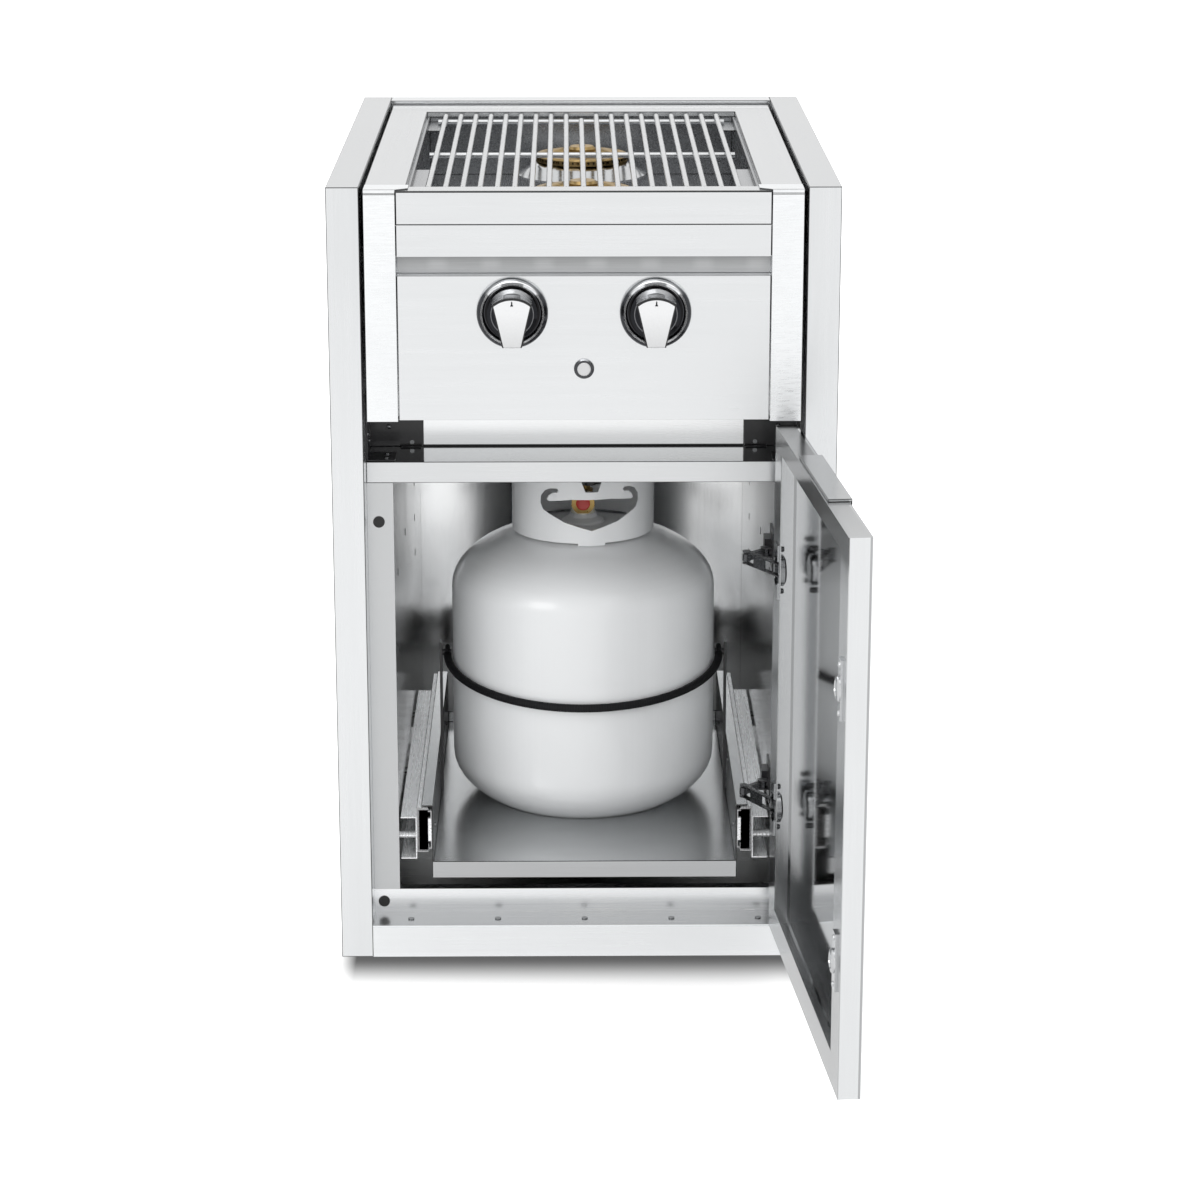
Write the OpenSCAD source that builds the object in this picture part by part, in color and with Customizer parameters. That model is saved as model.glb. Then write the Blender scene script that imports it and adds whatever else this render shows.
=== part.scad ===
// Outdoor kitchen side burner cabinet: a stainless cabinet with two brass burners under
// a round-bar grate, and a pull-out tray that carries a gas cylinder behind a hinged door.
// Millimetres, +Z up, origin in the middle of the underside, door hinged on the +X side.

/* [Cabinet] */
// Width over the two side panels
body_w = 558; // [540:1:640]
// Depth from the front face to the back face
body_d = 744; // [730:1:820]
// Height of the side panels
body_h = 889; // [880:1:930]
// Thickness of each side panel and height of the bottom rail
panel_t = 36; // [32:1:40]
// Depth of the bottom rail, from the front face to the jambs
rail_d = 45; // [42:0.5:50]
// Thickness of the folded sheet
sheet = 1.5; // [1:0.1:2]
// Distance from the back face to the outside of the back panel
back_inset = 28.5; // [24:0.5:34]
// Depth of the rail across the top of the back
rear_rail_d = 38; // [34:1:42]
// Width of the jamb between a side panel and its liner
jamb_w = 29.5; // [27:0.5:31]
// Height of the shelf's top
shelf_z = 574; // [570:1:600]
// Height of the shelf's front face
shelf_face = 24; // [20:1:34]
// Height of the sill's face above the bottom rail
sill_h = 30; // [24:1:34]
// Depth of the narrow return flanges
return_d = 15; // [10:1:18]

/* [Deck] */
// Drop of the deck below the top of the side panels
deck_drop = 4; // [2:0.5:6]
// Seam between the deck and the side panels
deck_seam = 4; // [2:0.5:4.5]
// Distance from a pillar to the cooking opening
open_side = 10.5; // [9:0.5:14]
// Border behind the cooking opening
open_back = 33; // [27:1:38]
// Border in front of the cooking opening
open_front = 30; // [26:1:34]
// Height of the lip turned down round the opening
lip_h = 5; // [4:0.5:7]
// Depth of the loose trim across the back of the deck
trim_d = 43; // [38:1:50]

/* [Front] */
// Width of each front pillar
pillar_w = 34.5; // [30:0.5:38]
// Depth of each front pillar
pillar_d = 43; // [38:1:45]
// Gap between a pillar and its side panel
pillar_gap = 4.5; // [3:0.5:6]
// Height of the upper fascia
upper_fascia_h = 35; // [30:0.5:40]
// Height of the lower fascia
lower_fascia_h = 35; // [30:0.5:40]
// Seam between the two fascias
fascia_seam = 0.5; // [0.4:0.1:1]
// Height of the vent recess over the control panel
recess_h = 21; // [16:0.5:26]
// Seam between a pillar and the panels beside it
pillar_seam = 1; // [0.5:0.1:1.5]
// Depth of the vent recess
recess_d = 20; // [14:1:26]
// Height of the control panel
panel_h = 160; // [150:1:165]
// Width of one vent slot, in the underside of the lower fascia
vent_w = 23; // [14:1:30]
// Distance from one vent slot to the next
vent_pitch = 58; // [40:1:70]
// Depth of a vent slot
vent_d = 9; // [6:0.5:12]
// Drop of the pillars below the control panel
pillar_drop = 2; // [0:0.5:4]

/* [Knobs] */
// Distance between the two knobs
knob_pitch = 156; // [140:1:170]
// Distance from the panel's top to the knobs
knob_drop = 40; // [40:0.5:46]
// Outer diameter of a bezel
bezel_d = 77.8; // [74:0.2:79]
// Height of a bezel's rim
bezel_h = 9; // [7:0.5:10]
// Diameter of a knob's skirt
knob_d = 55; // [50:0.5:58]
// Distance from the panel to a knob's front
knob_reach = 40; // [36:0.5:46]
// Width of the grip at its top
grip_w = 44; // [38:0.5:48]
// Width of the grip at its foot
grip_foot = 21; // [16:0.5:26]
// Distance from the axis to the grip's foot
grip_drop = 31.5; // [28:0.5:34]
// Diameter of a valve stem
stem_d = 8; // [7:0.2:9]
// Travel of a knob when it is pushed in
push_travel = 3; // [2:0.5:4]
// Distance from the panel's top to the igniter
igniter_drop = 102.4; // [98:0.2:108]
// Outer diameter of the igniter's bezel
igniter_bezel_d = 22; // [20:0.5:26]
// Diameter of the igniter's button
igniter_d = 14.6; // [12:0.2:16]

/* [Burners] */
// Distance from the front face to the front burner
front_burner_y = 197; // [190:1:205]
// Distance between the two burners
burner_pitch = 268; // [260:1:280]
// Outer diameter of the brass ring
ring_d = 113; // [105:1:118]
// Width of the brass ring
ring_w = 22; // [16:0.5:26]
// Height of the brass ring's wall
ring_h = 8; // [6:0.5:10]
// Distance from the deck to the ring's top
ring_drop = 28; // [24:0.5:34]
// Diameter of the burner's flared base
base_d = 156; // [146:1:164]
// Height of the flare under the ring
flare_h = 16; // [12:0.5:20]
// Diameter of the cap in the middle
cap_d = 34; // [28:1:40]
// Number of gas ports round each ring
ports = 28; // [20:1:36]
// Diameter of a gas port
port_d = 3; // [2:0.5:4]
// Height of the firebox
firebox_h = 73.5; // [68:0.5:80]
// Distance from the opening's edge to the firebox wall
firebox_inset = 2; // [1:0.5:3]
// Distance from the firebox wall to the housing under it
housing_in = 9.5; // [6:0.5:14]
// Distance from the front face to the housing under the firebox
housing_y = 121; // [110:1:128]

/* [Grate] */
// Diameter of the grate's rods
rod_d = 6.35; // [5:0.05:7]
// Gap between the opening's side and the cross rods
grate_side = 15; // [13:0.5:17]
// Distance the cross rods reach past the outer bars
cross_over = 9.3; // [6:0.1:12]
// Number of bars
bars = 19; // [15:2:19]
// Gap behind the bars
grate_end = 19; // [14:1:29]
// Shortening of the middle bar at the back
notch_l = 40; // [20:1:60]
// Depth of the weld where rods cross
weld = 0.8; // [0.4:0.1:1.2]

/* [Door] */
// Thickness of the door
door_t = 24; // [22:0.5:28]
// Gap at each side of the door
door_side_gap = 2; // [1.5:0.1:3]
// Gap under the door
door_low_gap = 3; // [2:0.5:5]
// Gap between the door and the pillars
door_top_gap = 4; // [3.6:0.1:6]
// Width of the flange along the hinged edge
hinge_flange = 42; // [40:1:50]
// Width of the flange along the free edge
free_flange = 46; // [40:1:60]
// Width of the flange along the top
top_flange = 24; // [20:1:30]
// Width of the flange along the bottom
low_flange = 34; // [28:1:40]
// Angle to which the door is open at rest
door_open = 94.9; // [92:0.1:96]
// Length of the handle on the door's top edge
handle_l = 190; // [150:1:220]
// Distance from the free edge to the handle
handle_end = 139; // [120:1:160]
// Height of the upper hinge
upper_hinge_z = 467; // [450:1:480]
// Height of the lower hinge
lower_hinge_z = 190; // [186:1:200]
// Diameter of a hinge cup
cup_d = 35; // [34.6:0.1:35.4]
// Depth of a hinge cup
cup_deep = 9; // [8.5:0.5:12]
// Length of a hinge plate, on its cup and on its liner
plate_l = 62; // [56:1:68]

/* [Tray] */
// Distance from a slide to the liner beside it
slide_gap = 20.5; // [18:0.5:24]
// Length of the tray and its slides
tray_l = 520; // [500:1:560]
// Gap between the jambs and the tray, behind the closed door
tray_front = 40; // [36:1:44]
// Height of the tray's floor
tray_z = 101.5; // [98:0.5:106]
// Height of the tray's front lip
tray_lip = 20.5; // [16:0.5:26]
// Height of a slide
slide_h = 54; // [50:1:58]
// Width of a slide
slide_w = 17.5; // [16:0.5:19]
// Height from the tray's floor to the underside of a slide
slide_lift = 11.5; // [9:0.5:14]
// Running clearance between the slide's members
slide_fit = 0.4; // [0.3:0.05:0.6]

/* [Gas cylinder] */
// Gap between the gas cylinder and the tray's side walls
tank_gap = 16; // [15:0.5:20]
// Height of the cylinder's straight wall
tank_wall_h = 206.5; // [195:0.5:220]
// Thickness of the cylinder's wall
tank_wall = 3; // [2:0.5:4]
// Distance from the front face to the cylinder's axis
tank_y = 300; // [290:1:310]
// Diameter of the hole in the tray that the cylinder sits in
seat_d = 231; // [225:1:240]
// Diameter of the foot ring
foot_d = 202; // [190:1:210]
// Depth of the foot ring below the cylinder
foot_drop = 8; // [4:0.5:9]
// Diameter of the collar
collar_d = 169; // [160:1:176]
// Height of the collar above the cylinder's top
collar_rise = 75; // [70:1:84]
// Diameter of the valve's handwheel
wheel_d = 52; // [44:1:58]
// Diameter of the strap's cord
strap_d = 9.5; // [8:0.5:11]
// Height of the strap's hooks above the tray's floor
strap_rise = 173.5; // [160:0.5:190]
// Drop of the strap's plane towards the front
strap_tilt = 7; // [4:0.5:9]

/* [Anchors] */
// Diameter of the floor anchor holes
anchor_d = 11; // [9:0.5:13]
// Distance between anchor holes across the cabinet
anchor_x = 380; // [360:1:400]
// Distance between anchor holes from front to back
anchor_y = 560; // [520:1:580]

/* [Hidden] */
$fn = 64;
// running and seating clearances
pin_fit = 0.05;
seat_gap = 0.3;
loose_fit = 0.5;
// levels and half widths, with the front face at y = 0
in_x = body_w / 2 - panel_t;
liner_x = in_x - jamb_w;
back_y = body_d - back_inset;
deck_z = body_h - deck_drop;
groove_d = 16;
deck_x = in_x - deck_seam;
deck_y1 = body_d - rear_rail_d;
pillar_x1 = in_x - pillar_gap;
pillar_x0 = pillar_x1 - pillar_w;
open_w = 2 * (pillar_x0 - open_side);
open_d = deck_y1 - trim_d - open_back - open_front;
flange_z = deck_z - sheet - lip_h;
fire_z = flange_z - firebox_h;
fire_x = open_w / 2 - firebox_inset;
fire_y0 = open_front + firebox_inset;
fire_y1 = open_front + open_d - firebox_inset;
upper_z0 = deck_z - sheet - upper_fascia_h;
lower_z1 = upper_z0 - fascia_seam;
lower_z0 = lower_z1 - lower_fascia_h;
panel_z1 = lower_z0 - recess_h;
panel_z0 = panel_z1 - panel_h;
pillar_z0 = panel_z0 - pillar_drop;
face_x = pillar_x0 - pillar_seam;
housing_x = fire_x - housing_in;
knob_x = knob_pitch / 2;
knob_z = panel_z1 - knob_drop;
igniter_z = panel_z1 - igniter_drop;
// plugs in the left jamb
plug_r = 5;
plug_in = 13;
plug_z = shelf_z - shelf_face - 45;
// screws
screw_r = 2;
head_r = 3.6;
head_h = 1.2;
screw_l = 8;
sill_screw_pitch = 100;
// knobs, bezels and igniter
stem_r = stem_d / 2;
stem_out = knob_reach - 14;
valve_deep = 38;
stem_hole_r = stem_r + 2;
dish_r = knob_d / 2 + 3.5;
skirt_y = -(sheet + push_travel + 0.7);
skirt_h = 8.8;
cap_t = 4;
grip_crown = 23;
button_reach = 6;
button_travel = 4;
module_r = 15;
module_l = 42;
// gas valves, manifold and tubes
valve_w = 26;
valve_y0 = 14;
valve_y1 = 44;
valve_up = 14;
valve_down = 23;
pipe_r = 10.65;
tube_r = 4.76;
manifold_y = (valve_y0 + valve_y1) / 2;
manifold_z = knob_z - valve_down - pipe_r;
manifold_over = 40;
inlet_r = 8;
inlet_l = 16;
inlet_drop = 30;
barb_l = 10;
tube_gap = 1.2;
// burners
ring_z = deck_z - ring_drop;
ring_r = ring_d / 2;
base_r = base_d / 2;
neck_r = 22;
stub_r = 12;
stub_drop = 24;
rear_burner_y = front_burner_y + burner_pitch;
burner_ys = [front_burner_y, rear_burner_y];
electrode_r = 3.5;
electrode_turn = 27;
// grate
ledge_w = 17;
front_ledge = 200;
rear_ledge = 80;
bar_y0 = open_front + 1;
bar_l = open_d - 1 - grate_end;
cross_x = open_w / 2 - grate_side;
bar_pitch = (cross_x - cross_over) / (bars - 1) * 2;
bar_z = deck_z - rod_d / 2;
cross_z = bar_z - rod_d + weld;
ledge_z = cross_z - rod_d / 2 - seat_gap;
cross_ys = [bar_y0 + 24, bar_y0 + bar_l / 2 - 2, bar_y0 + bar_l - 11];
// door, closed and then swung about the concealed hinges' pivot
door_x = in_x - door_side_gap;
door_z0 = panel_t + door_low_gap;
door_z1 = pillar_z0 - door_top_gap;
pivot = [in_x - 4.6, -3.5];
cup_in = 22;
cup_x = door_x - cup_in;
arm_pin = [cup_x - 1, door_t - 3.4];
arm_tilt = 31;
arm_l = 66;
arm_pin_r = 2;
link_pin_r = 2.5;
link_slack = 1;
hinge_zs = [upper_hinge_z, lower_hinge_z];
arm_rest = pivot + turned(arm_pin - pivot, door_open);
arm_end = arm_rest + turned([0, arm_l], arm_tilt);
link_base = pivot + turned([0, arm_l], arm_tilt);
ear_t = 1.4;
ear_z = 4.3;
cheek_z = 6;
handle_t = 3;
handle_over = 3;
catch_zs = [door_z0 + 142, door_z0 + 428];
catch_x = -door_x + free_flange / 2;
plate_edge = 7;
// corner brackets on the shelf
bracket_y0 = rail_d + 4;
bracket_y1 = rail_d + 44;
bracket_screw_x = in_x - 22;
bracket_screw_ys = [bracket_y0 + 10, bracket_y1 - 10];
// tray and slides
tray_x = liner_x - slide_gap - slide_w;
slide_z0 = tray_z + slide_lift;
slide_z1 = slide_z0 + slide_h;
slide_x = tray_x + slide_w;
member_t = 1.5;
bracket_h = 51;
bracket_z = tray_z + 1.5;
standoff = 2;
bracket_end = 528;
wall_top = slide_z1 + 1.2 + sheet;
wall_flange = 12;
stop_l = 4;
// gas cylinder
tank_r = tray_x - sheet - tank_gap;
tank_d = 2 * tank_r;
dome_h = tank_r / 2;
seat_rise = dome_h * sqrt(1 - pow(seat_d / tank_d, 2));
tank_z0 = tray_z + seat_rise + seat_gap;
tank_z1 = tank_z0 + tank_wall_h;
tank_low = tank_z0 - dome_h;
tank_top = tank_z1 + dome_h;
collar_top = tank_top + collar_rise;
collar_t = 3;
collar_gap = 49;
collar_turn = 6.8;
spindle_r = 4;
collar_seat = tank_z1 + dome(collar_d / 2 - collar_t, tank_r) + seat_gap;
collar_low = collar_seat + 3;
boss_h = 9.6;
base_ring_h = 7;
outlet_z = 19.4;
valve_h = 37.4;
dome_steps = 14;
hand_window = [[32, 17], [47, 25], [55, 30], [58, 38], [57.5, 47], [53, 54], [47, 57], [40, 57.5],
    [38, 55], [39.5, 52.5], [45, 51.5], [49, 48], [51, 43], [49, 41.5],
    [24, 45]];
strap_r = tank_r + strap_d / 2 + 1.75;
strap_z = tray_z + strap_rise;
post_t = sheet * 2;
post_w = 16;
loop_r = 7;
loop_d = 5.6;
strap_end = asin(loop_r / strap_r);
peg_r = loop_r - loop_d / 2 - seat_gap;

// a point of the plan turned about the origin
function turned(p, a) = [p[0] * cos(a) - p[1] * sin(a), p[0] * sin(a) + p[1] * cos(a)];
function reversed(list) = [for (i = [len(list) - 1:-1:0]) list[i]];
// height of a half-flat dome over radius r, for a dome of radius R
function dome(r, R) = R / 2 * sqrt(max(0, 1 - pow(r / R, 2)));

// moves work drawn from the front face to the cabinet's own frame
module from_front() {
    translate([0, -body_d / 2, 0]) children();
}
module box(x0, x1, y0, y1, z0, z1) {
    translate([x0, y0, z0]) cube([x1 - x0, y1 - y0, z1 - z0]);
}
// the same work on the left and on the right
module both_sides() {
    children();
    mirror([1, 0, 0]) children();
}
module upright(x, y, z, r, h) {
    translate([x, y, z]) cylinder(r = r, h = h);
}
// a cylinder that runs backwards from y, along +Y
module along_y(x, y, z, r, l) {
    translate([x, y, z]) rotate([-90, 0, 0]) cylinder(r = r, h = l);
}
module along_x(x, y, z, r, l) {
    translate([x, y, z]) rotate([0, 90, 0]) cylinder(r = r, h = l);
}
module as_open_door() {
    translate([pivot[0], pivot[1], 0]) rotate([0, 0, door_open])
        translate([-pivot[0], -pivot[1], 0]) children();
}

// a side panel of folded sheet, closed all round
module side_panel() {
    difference() {
        box(in_x, body_w / 2, 0, body_d, 0, body_h);
        box(in_x + sheet, body_w / 2 - sheet, sheet, body_d - sheet, sheet, body_h - sheet);
    }
}
module left_side_panel() {
    color("gainsboro") from_front() mirror([1, 0, 0]) side_panel();
}
module right_side_panel() {
    color("gainsboro") from_front() side_panel();
}

module bottom_rail() {
    color("gainsboro") from_front() difference() {
        box(-in_x, in_x, 0, rail_d, 0, panel_t);
        box(-in_x - 1, in_x + 1, sheet, rail_d - sheet, sheet, panel_t - sheet);
        sill_screw_holes();
    }
}
module top_rear_rail() {
    color("gainsboro") from_front() difference() {
        box(-in_x, in_x, deck_y1, body_d, body_h - panel_t, body_h);
        box(-in_x - 1, in_x + 1, deck_y1 + sheet, body_d - sheet,
            body_h - panel_t + sheet, body_h - sheet);
    }
}
module floor_pan() {
    color("silver") from_front() difference() {
        union() {
            box(-in_x, in_x, rail_d, back_y - sheet, 0, sheet);
            box(-in_x, in_x, back_y - 2 * sheet, back_y - sheet, 0, return_d);
        }
        for (x = [-1, 1], y = [-1, 1])
            upright(x * anchor_x / 2, body_d / 2 + y * anchor_y / 2, -1, anchor_d / 2, sheet + 2);
    }
}
module back_panel() {
    color("silver") from_front() union() {
        box(-in_x, in_x, back_y - sheet, back_y, 0, body_h - panel_t);
        box(-in_x, in_x, back_y, back_y + return_d - sheet, 0, sheet);
        both_sides() box(in_x - sheet, in_x, back_y, back_y + return_d - sheet, sheet,
            deck_z - panel_t);
    }
}
// an inner side wall with its jamb turned out to the side panel
module liner() {
    box(liner_x, liner_x + sheet, rail_d + sheet, back_y - 2 * sheet, sheet,
        shelf_z - shelf_face);
    box(liner_x, in_x, rail_d, rail_d + sheet, panel_t + sill_h, shelf_z - shelf_face);
}
module left_liner() {
    color("silver") from_front() mirror([1, 0, 0]) difference() {
        liner();
        translate([0, -1, 0]) upper_plug_hole();
    }
}
module right_liner() {
    color("silver") from_front() liner();
}
// the plugs are drawn on the right and mirrored to the left jamb
module upper_plug_hole() {
    along_y(in_x - plug_in, rail_d, plug_z, plug_r, sheet + 2);
}
module jamb_plugs() {
    color("dimgray") from_front() mirror([1, 0, 0]) {
        along_y(in_x - plug_in, rail_d - 1, plug_z, plug_r + 1.5, 1);
        along_y(in_x - plug_in, rail_d, plug_z, plug_r - pin_fit, sheet);
        along_y(in_x - plug_in + 2, rail_d - 1, panel_t + sill_h / 2, plug_r + 1.5, 1);
    }
}
// the sheet that covers the bottom rail and stands up behind the door
module sill() {
    color("gainsboro") from_front() difference() {
        union() {
            box(-in_x, in_x, sheet, rail_d, panel_t, panel_t + sheet);
            box(-in_x, in_x, rail_d, rail_d + sheet, panel_t, panel_t + sill_h);
            box(-liner_x, liner_x, rail_d, rail_d + return_d, panel_t + sill_h - sheet,
                panel_t + sill_h);
        }
        sill_screw_holes();
    }
}
module sill_screw_holes() {
    for (i = [-2:2])
        upright(i * sill_screw_pitch, rail_d / 2, panel_t - sheet - 1, screw_r + pin_fit,
            2 * sheet + 2);
}
module screws() {
    color("silver") from_front() {
        for (i = [-2:2]) {
            upright(i * sill_screw_pitch, rail_d / 2, panel_t + sheet, head_r, head_h);
            upright(i * sill_screw_pitch, rail_d / 2, panel_t + sheet - screw_l, screw_r, screw_l);
        }
        both_sides() {
            for (y = bracket_screw_ys) upright(bracket_screw_x, y, shelf_z + sheet, head_r, head_h);
            along_y(housing_x + 13, housing_y - head_h, shelf_z + 5, head_r - 1, head_h);
        }
    }
}
module shelf() {
    color("gainsboro") from_front() {
        box(-in_x, in_x, rail_d, back_y - 2 * sheet, shelf_z - sheet, shelf_z);
        box(-in_x, in_x, rail_d, rail_d + sheet, shelf_z - shelf_face, shelf_z);
        box(-in_x, in_x, rail_d, rail_d + return_d, shelf_z - shelf_face,
            shelf_z - shelf_face + sheet);
    }
}
// dark angle brackets between the shelf and the side panels
module corner_brackets() {
    color("dimgray") from_front() both_sides() {
        box(in_x - 32, in_x, bracket_y0, bracket_y1, shelf_z, shelf_z + sheet);
        box(in_x - sheet, in_x, bracket_y0, bracket_y1, shelf_z, pillar_z0 + 20);
        box(housing_x, in_x, housing_y, housing_y + sheet, shelf_z, fire_z);
        box(housing_x + 2, housing_x + 26, housing_y - 9, housing_y + sheet, shelf_z,
            shelf_z + sheet);
    }
}

module burner_housing() {
    color("gainsboro") from_front() difference() {
        box(-housing_x, housing_x, housing_y, fire_y1, shelf_z, fire_z);
        box(-housing_x + sheet, housing_x - sheet, housing_y + sheet, fire_y1 - sheet,
            shelf_z - 1, fire_z + 1);
        both_sides() along_y(knob_x, housing_y - 1, knob_z, tube_r + tube_gap, sheet + 2);
    }
}
// the tub under the grate, with its flange and the ledges that the grate lies on
module firebox() {
    color("darkgray") from_front() difference() {
        union() {
            difference() {
                box(-fire_x, fire_x, fire_y0, fire_y1, fire_z, flange_z);
                box(-fire_x + sheet, fire_x - sheet, fire_y0 + sheet, fire_y1 - sheet,
                    fire_z + sheet, flange_z + 1);
            }
            difference() {
                box(-open_w / 2 - 4, open_w / 2 + 4, open_front - 4, open_front + open_d + 4,
                    flange_z - sheet, flange_z);
                box(-fire_x + 1, fire_x - 1, fire_y0 + 1, fire_y1 - 1, flange_z - 9, flange_z + 9);
            }
            both_sides() for (y = [[fire_y0, front_ledge], [fire_y1 - rear_ledge, rear_ledge]])
                box(fire_x - ledge_w, fire_x - sheet / 2, y[0] + sheet / 2, y[0] + y[1] - sheet / 2,
                    ledge_z - sheet, ledge_z);
        }
        for (y = burner_ys) upright(0, y, fire_z - 1, stub_r + pin_fit, sheet + 2);
    }
}
module top_panel() {
    color("gainsboro") from_front() difference() {
        union() {
            difference() {
                box(-deck_x, deck_x, 0, deck_y1 - trim_d, deck_z - sheet, deck_z);
                both_sides() box(pillar_x0, deck_x + 1, -1, sheet, deck_z - 9, deck_z + 9);
            }
            box(-open_w / 2 - sheet, open_w / 2 + sheet, open_front - sheet,
                open_front + open_d + sheet, flange_z, deck_z);
            both_sides() box(deck_x - sheet, deck_x, pillar_d + 4, deck_y1 - trim_d,
                deck_z - 14, deck_z);
        }
        box(-open_w / 2, open_w / 2, open_front, open_front + open_d, flange_z - 9, deck_z + 9);
    }
}
module rear_trim() {
    color("gainsboro") from_front() {
        box(-deck_x, deck_x, deck_y1 - trim_d + loose_fit, deck_y1 - groove_d,
            deck_z - sheet, deck_z);
        box(-deck_x, deck_x, deck_y1 - trim_d + loose_fit, deck_y1 - trim_d + loose_fit + sheet,
            deck_z - 10, deck_z);
        box(-deck_x, deck_x, deck_y1 - groove_d - sheet, deck_y1 - groove_d, deck_z - 7, deck_z);
        box(-deck_x, deck_x, deck_y1 - groove_d - sheet, deck_y1, deck_z - 7 - sheet, deck_z - 7);
    }
}

// a front pillar: a folded channel whose cap laps over the deck's corner
module pillar() {
    difference() {
        box(pillar_x0, pillar_x1, 0, pillar_d, pillar_z0, deck_z);
        box(pillar_x0 - 1, pillar_x1 + 1, -1, sheet / 2, deck_z - 4, deck_z - sheet - 1.2);
        box(pillar_x0 + sheet, pillar_x1 - sheet, sheet, pillar_d + 1, pillar_z0 - 1, deck_z + 1);
        box(pillar_x0 - 1, deck_x + 1, sheet, pillar_d + 1, deck_z - 16, deck_z + 1);
    }
    box(pillar_x0, pillar_x1, 0, sheet, deck_z - sheet, deck_z + sheet);
    translate([0, 0, deck_z]) linear_extrude(sheet) polygon([[pillar_x1, 0], [pillar_x0, 0],
        [open_w / 2 - 3.5, 10], [open_w / 2 - 3.5, open_front + 4],
        [pillar_x1, open_front + 5]]);
}
module left_pillar() {
    color("whitesmoke") from_front() mirror([1, 0, 0]) pillar();
}
module right_pillar() {
    color("whitesmoke") from_front() pillar();
}
module upper_fascia() {
    color("gainsboro") from_front() {
        box(-face_x, face_x, 0, sheet, upper_z0, deck_z - sheet);
        box(-pillar_x0, pillar_x0, sheet, return_d, upper_z0, upper_z0 + sheet);
    }
}
module lower_fascia() {
    slots = floor((2 * pillar_x0 - vent_w) / vent_pitch);
    color("gainsboro") from_front() difference() {
        union() {
            box(-face_x, face_x, 0, sheet, lower_z0, lower_z1);
            box(-pillar_x0, pillar_x0, sheet, recess_d, lower_z0, lower_z0 + sheet);
            box(-pillar_x0, pillar_x0, sheet, return_d, lower_z1 - sheet, lower_z1);
        }
        for (i = [0:slots - 1]) {
            x = (i - (slots - 1) / 2) * vent_pitch;
            box(x - vent_w / 2, x + vent_w / 2, recess_d - 4 - vent_d, recess_d - 4,
                lower_z0 - 1, lower_z0 + sheet + 1);
        }
    }
}
module vent_strip() {
    color("darkgray") from_front()
        box(-pillar_x0, pillar_x0, recess_d - sheet, recess_d, panel_z1, lower_z0);
}
module control_panel() {
    color("gainsboro") from_front() difference() {
        union() {
            box(-face_x, face_x, 0, sheet, panel_z0, panel_z1);
            box(-pillar_x0, pillar_x0, sheet, recess_d, panel_z1 - sheet, panel_z1);
            box(-pillar_x0, pillar_x0, sheet, return_d, panel_z0, panel_z0 + sheet);
        }
        both_sides() along_y(knob_x, -1, knob_z, stem_hole_r, sheet + 2);
        along_y(0, -1, igniter_z, igniter_d / 2 + 1, sheet + 2);
    }
}

// flared steel base of a burner, with the neck and inlet under it
module burner_base() {
    rotate_extrude($fn = 96) polygon([[0, ring_z - ring_h], [ring_r - 4, ring_z - ring_h],
        [base_r, ring_z - ring_h - flare_h], [base_r - 2, ring_z - ring_h - flare_h - 3],
        [ring_r - 10, ring_z - ring_h - flare_h - 6], [neck_r, ring_z - ring_h - flare_h - 8],
        [neck_r, fire_z + sheet], [stub_r, fire_z + sheet], [stub_r, fire_z - stub_drop],
        [0, fire_z - stub_drop]]);
}
module burner_bases() {
    color("lightsteelblue") from_front() for (y = burner_ys) translate([0, y, 0]) burner_base();
}
// brass ring with its ports and a stepped top
module burner_ring() {
    difference() {
        rotate_extrude($fn = 96) polygon([[ring_r - ring_w, ring_z - ring_h],
            [ring_r, ring_z - ring_h], [ring_r, ring_z - 2], [ring_r - 2, ring_z],
            [ring_r - ring_w + 6, ring_z], [ring_r - ring_w, ring_z - 3]]);
        for (i = [0:ports - 1]) rotate([0, 90, (i + 0.5) * 360 / ports])
            translate([-(ring_z - ring_h / 2 - 0.5), 0, ring_r - 4])
                cylinder(d = port_d, h = 6, $fn = 16);
    }
}
module burner_rings() {
    color("goldenrod") from_front() for (y = burner_ys) translate([0, y, 0]) burner_ring();
}
module burner_caps() {
    color("darkgoldenrod") from_front() for (y = burner_ys) translate([0, y, 0])
        rotate_extrude($fn = 64) polygon([[0, ring_z - ring_h], [cap_d / 2 - 3, ring_z - ring_h],
            [cap_d / 2 - 3, ring_z + 2], [cap_d / 2, ring_z + 3], [cap_d / 2, ring_z + 6],
            [cap_d / 2 - 3, ring_z + 9], [0, ring_z + 9.6]]);
}

// round tubes through a short list of points, joined by round elbow fittings
module tube(points, r) {
    for (i = [0:len(points) - 2]) {
        step = points[i + 1] - points[i];
        along = norm([step[0], step[1]]);
        translate(points[i]) rotate([0, atan2(along, step[2]), atan2(step[1], step[0])])
            cylinder(r = r, h = norm(step), $fn = 24);
        if (i > 0) translate(points[i]) cylinder(r = r * 2, h = r * 3.4, center = true, $fn = 48);
    }
}
// the left valve feeds the front burner and the right valve the rear one
module gas_tubes() {
    color("silver") from_front() for (i = [0, 1]) {
        x = (2 * i - 1) * knob_x;
        tube([[x, valve_y1 + barb_l, knob_z], [x, burner_ys[i] - 60, knob_z],
            [0, burner_ys[i], knob_z], [0, burner_ys[i], fire_z - stub_drop]], tube_r);
    }
}
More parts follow.
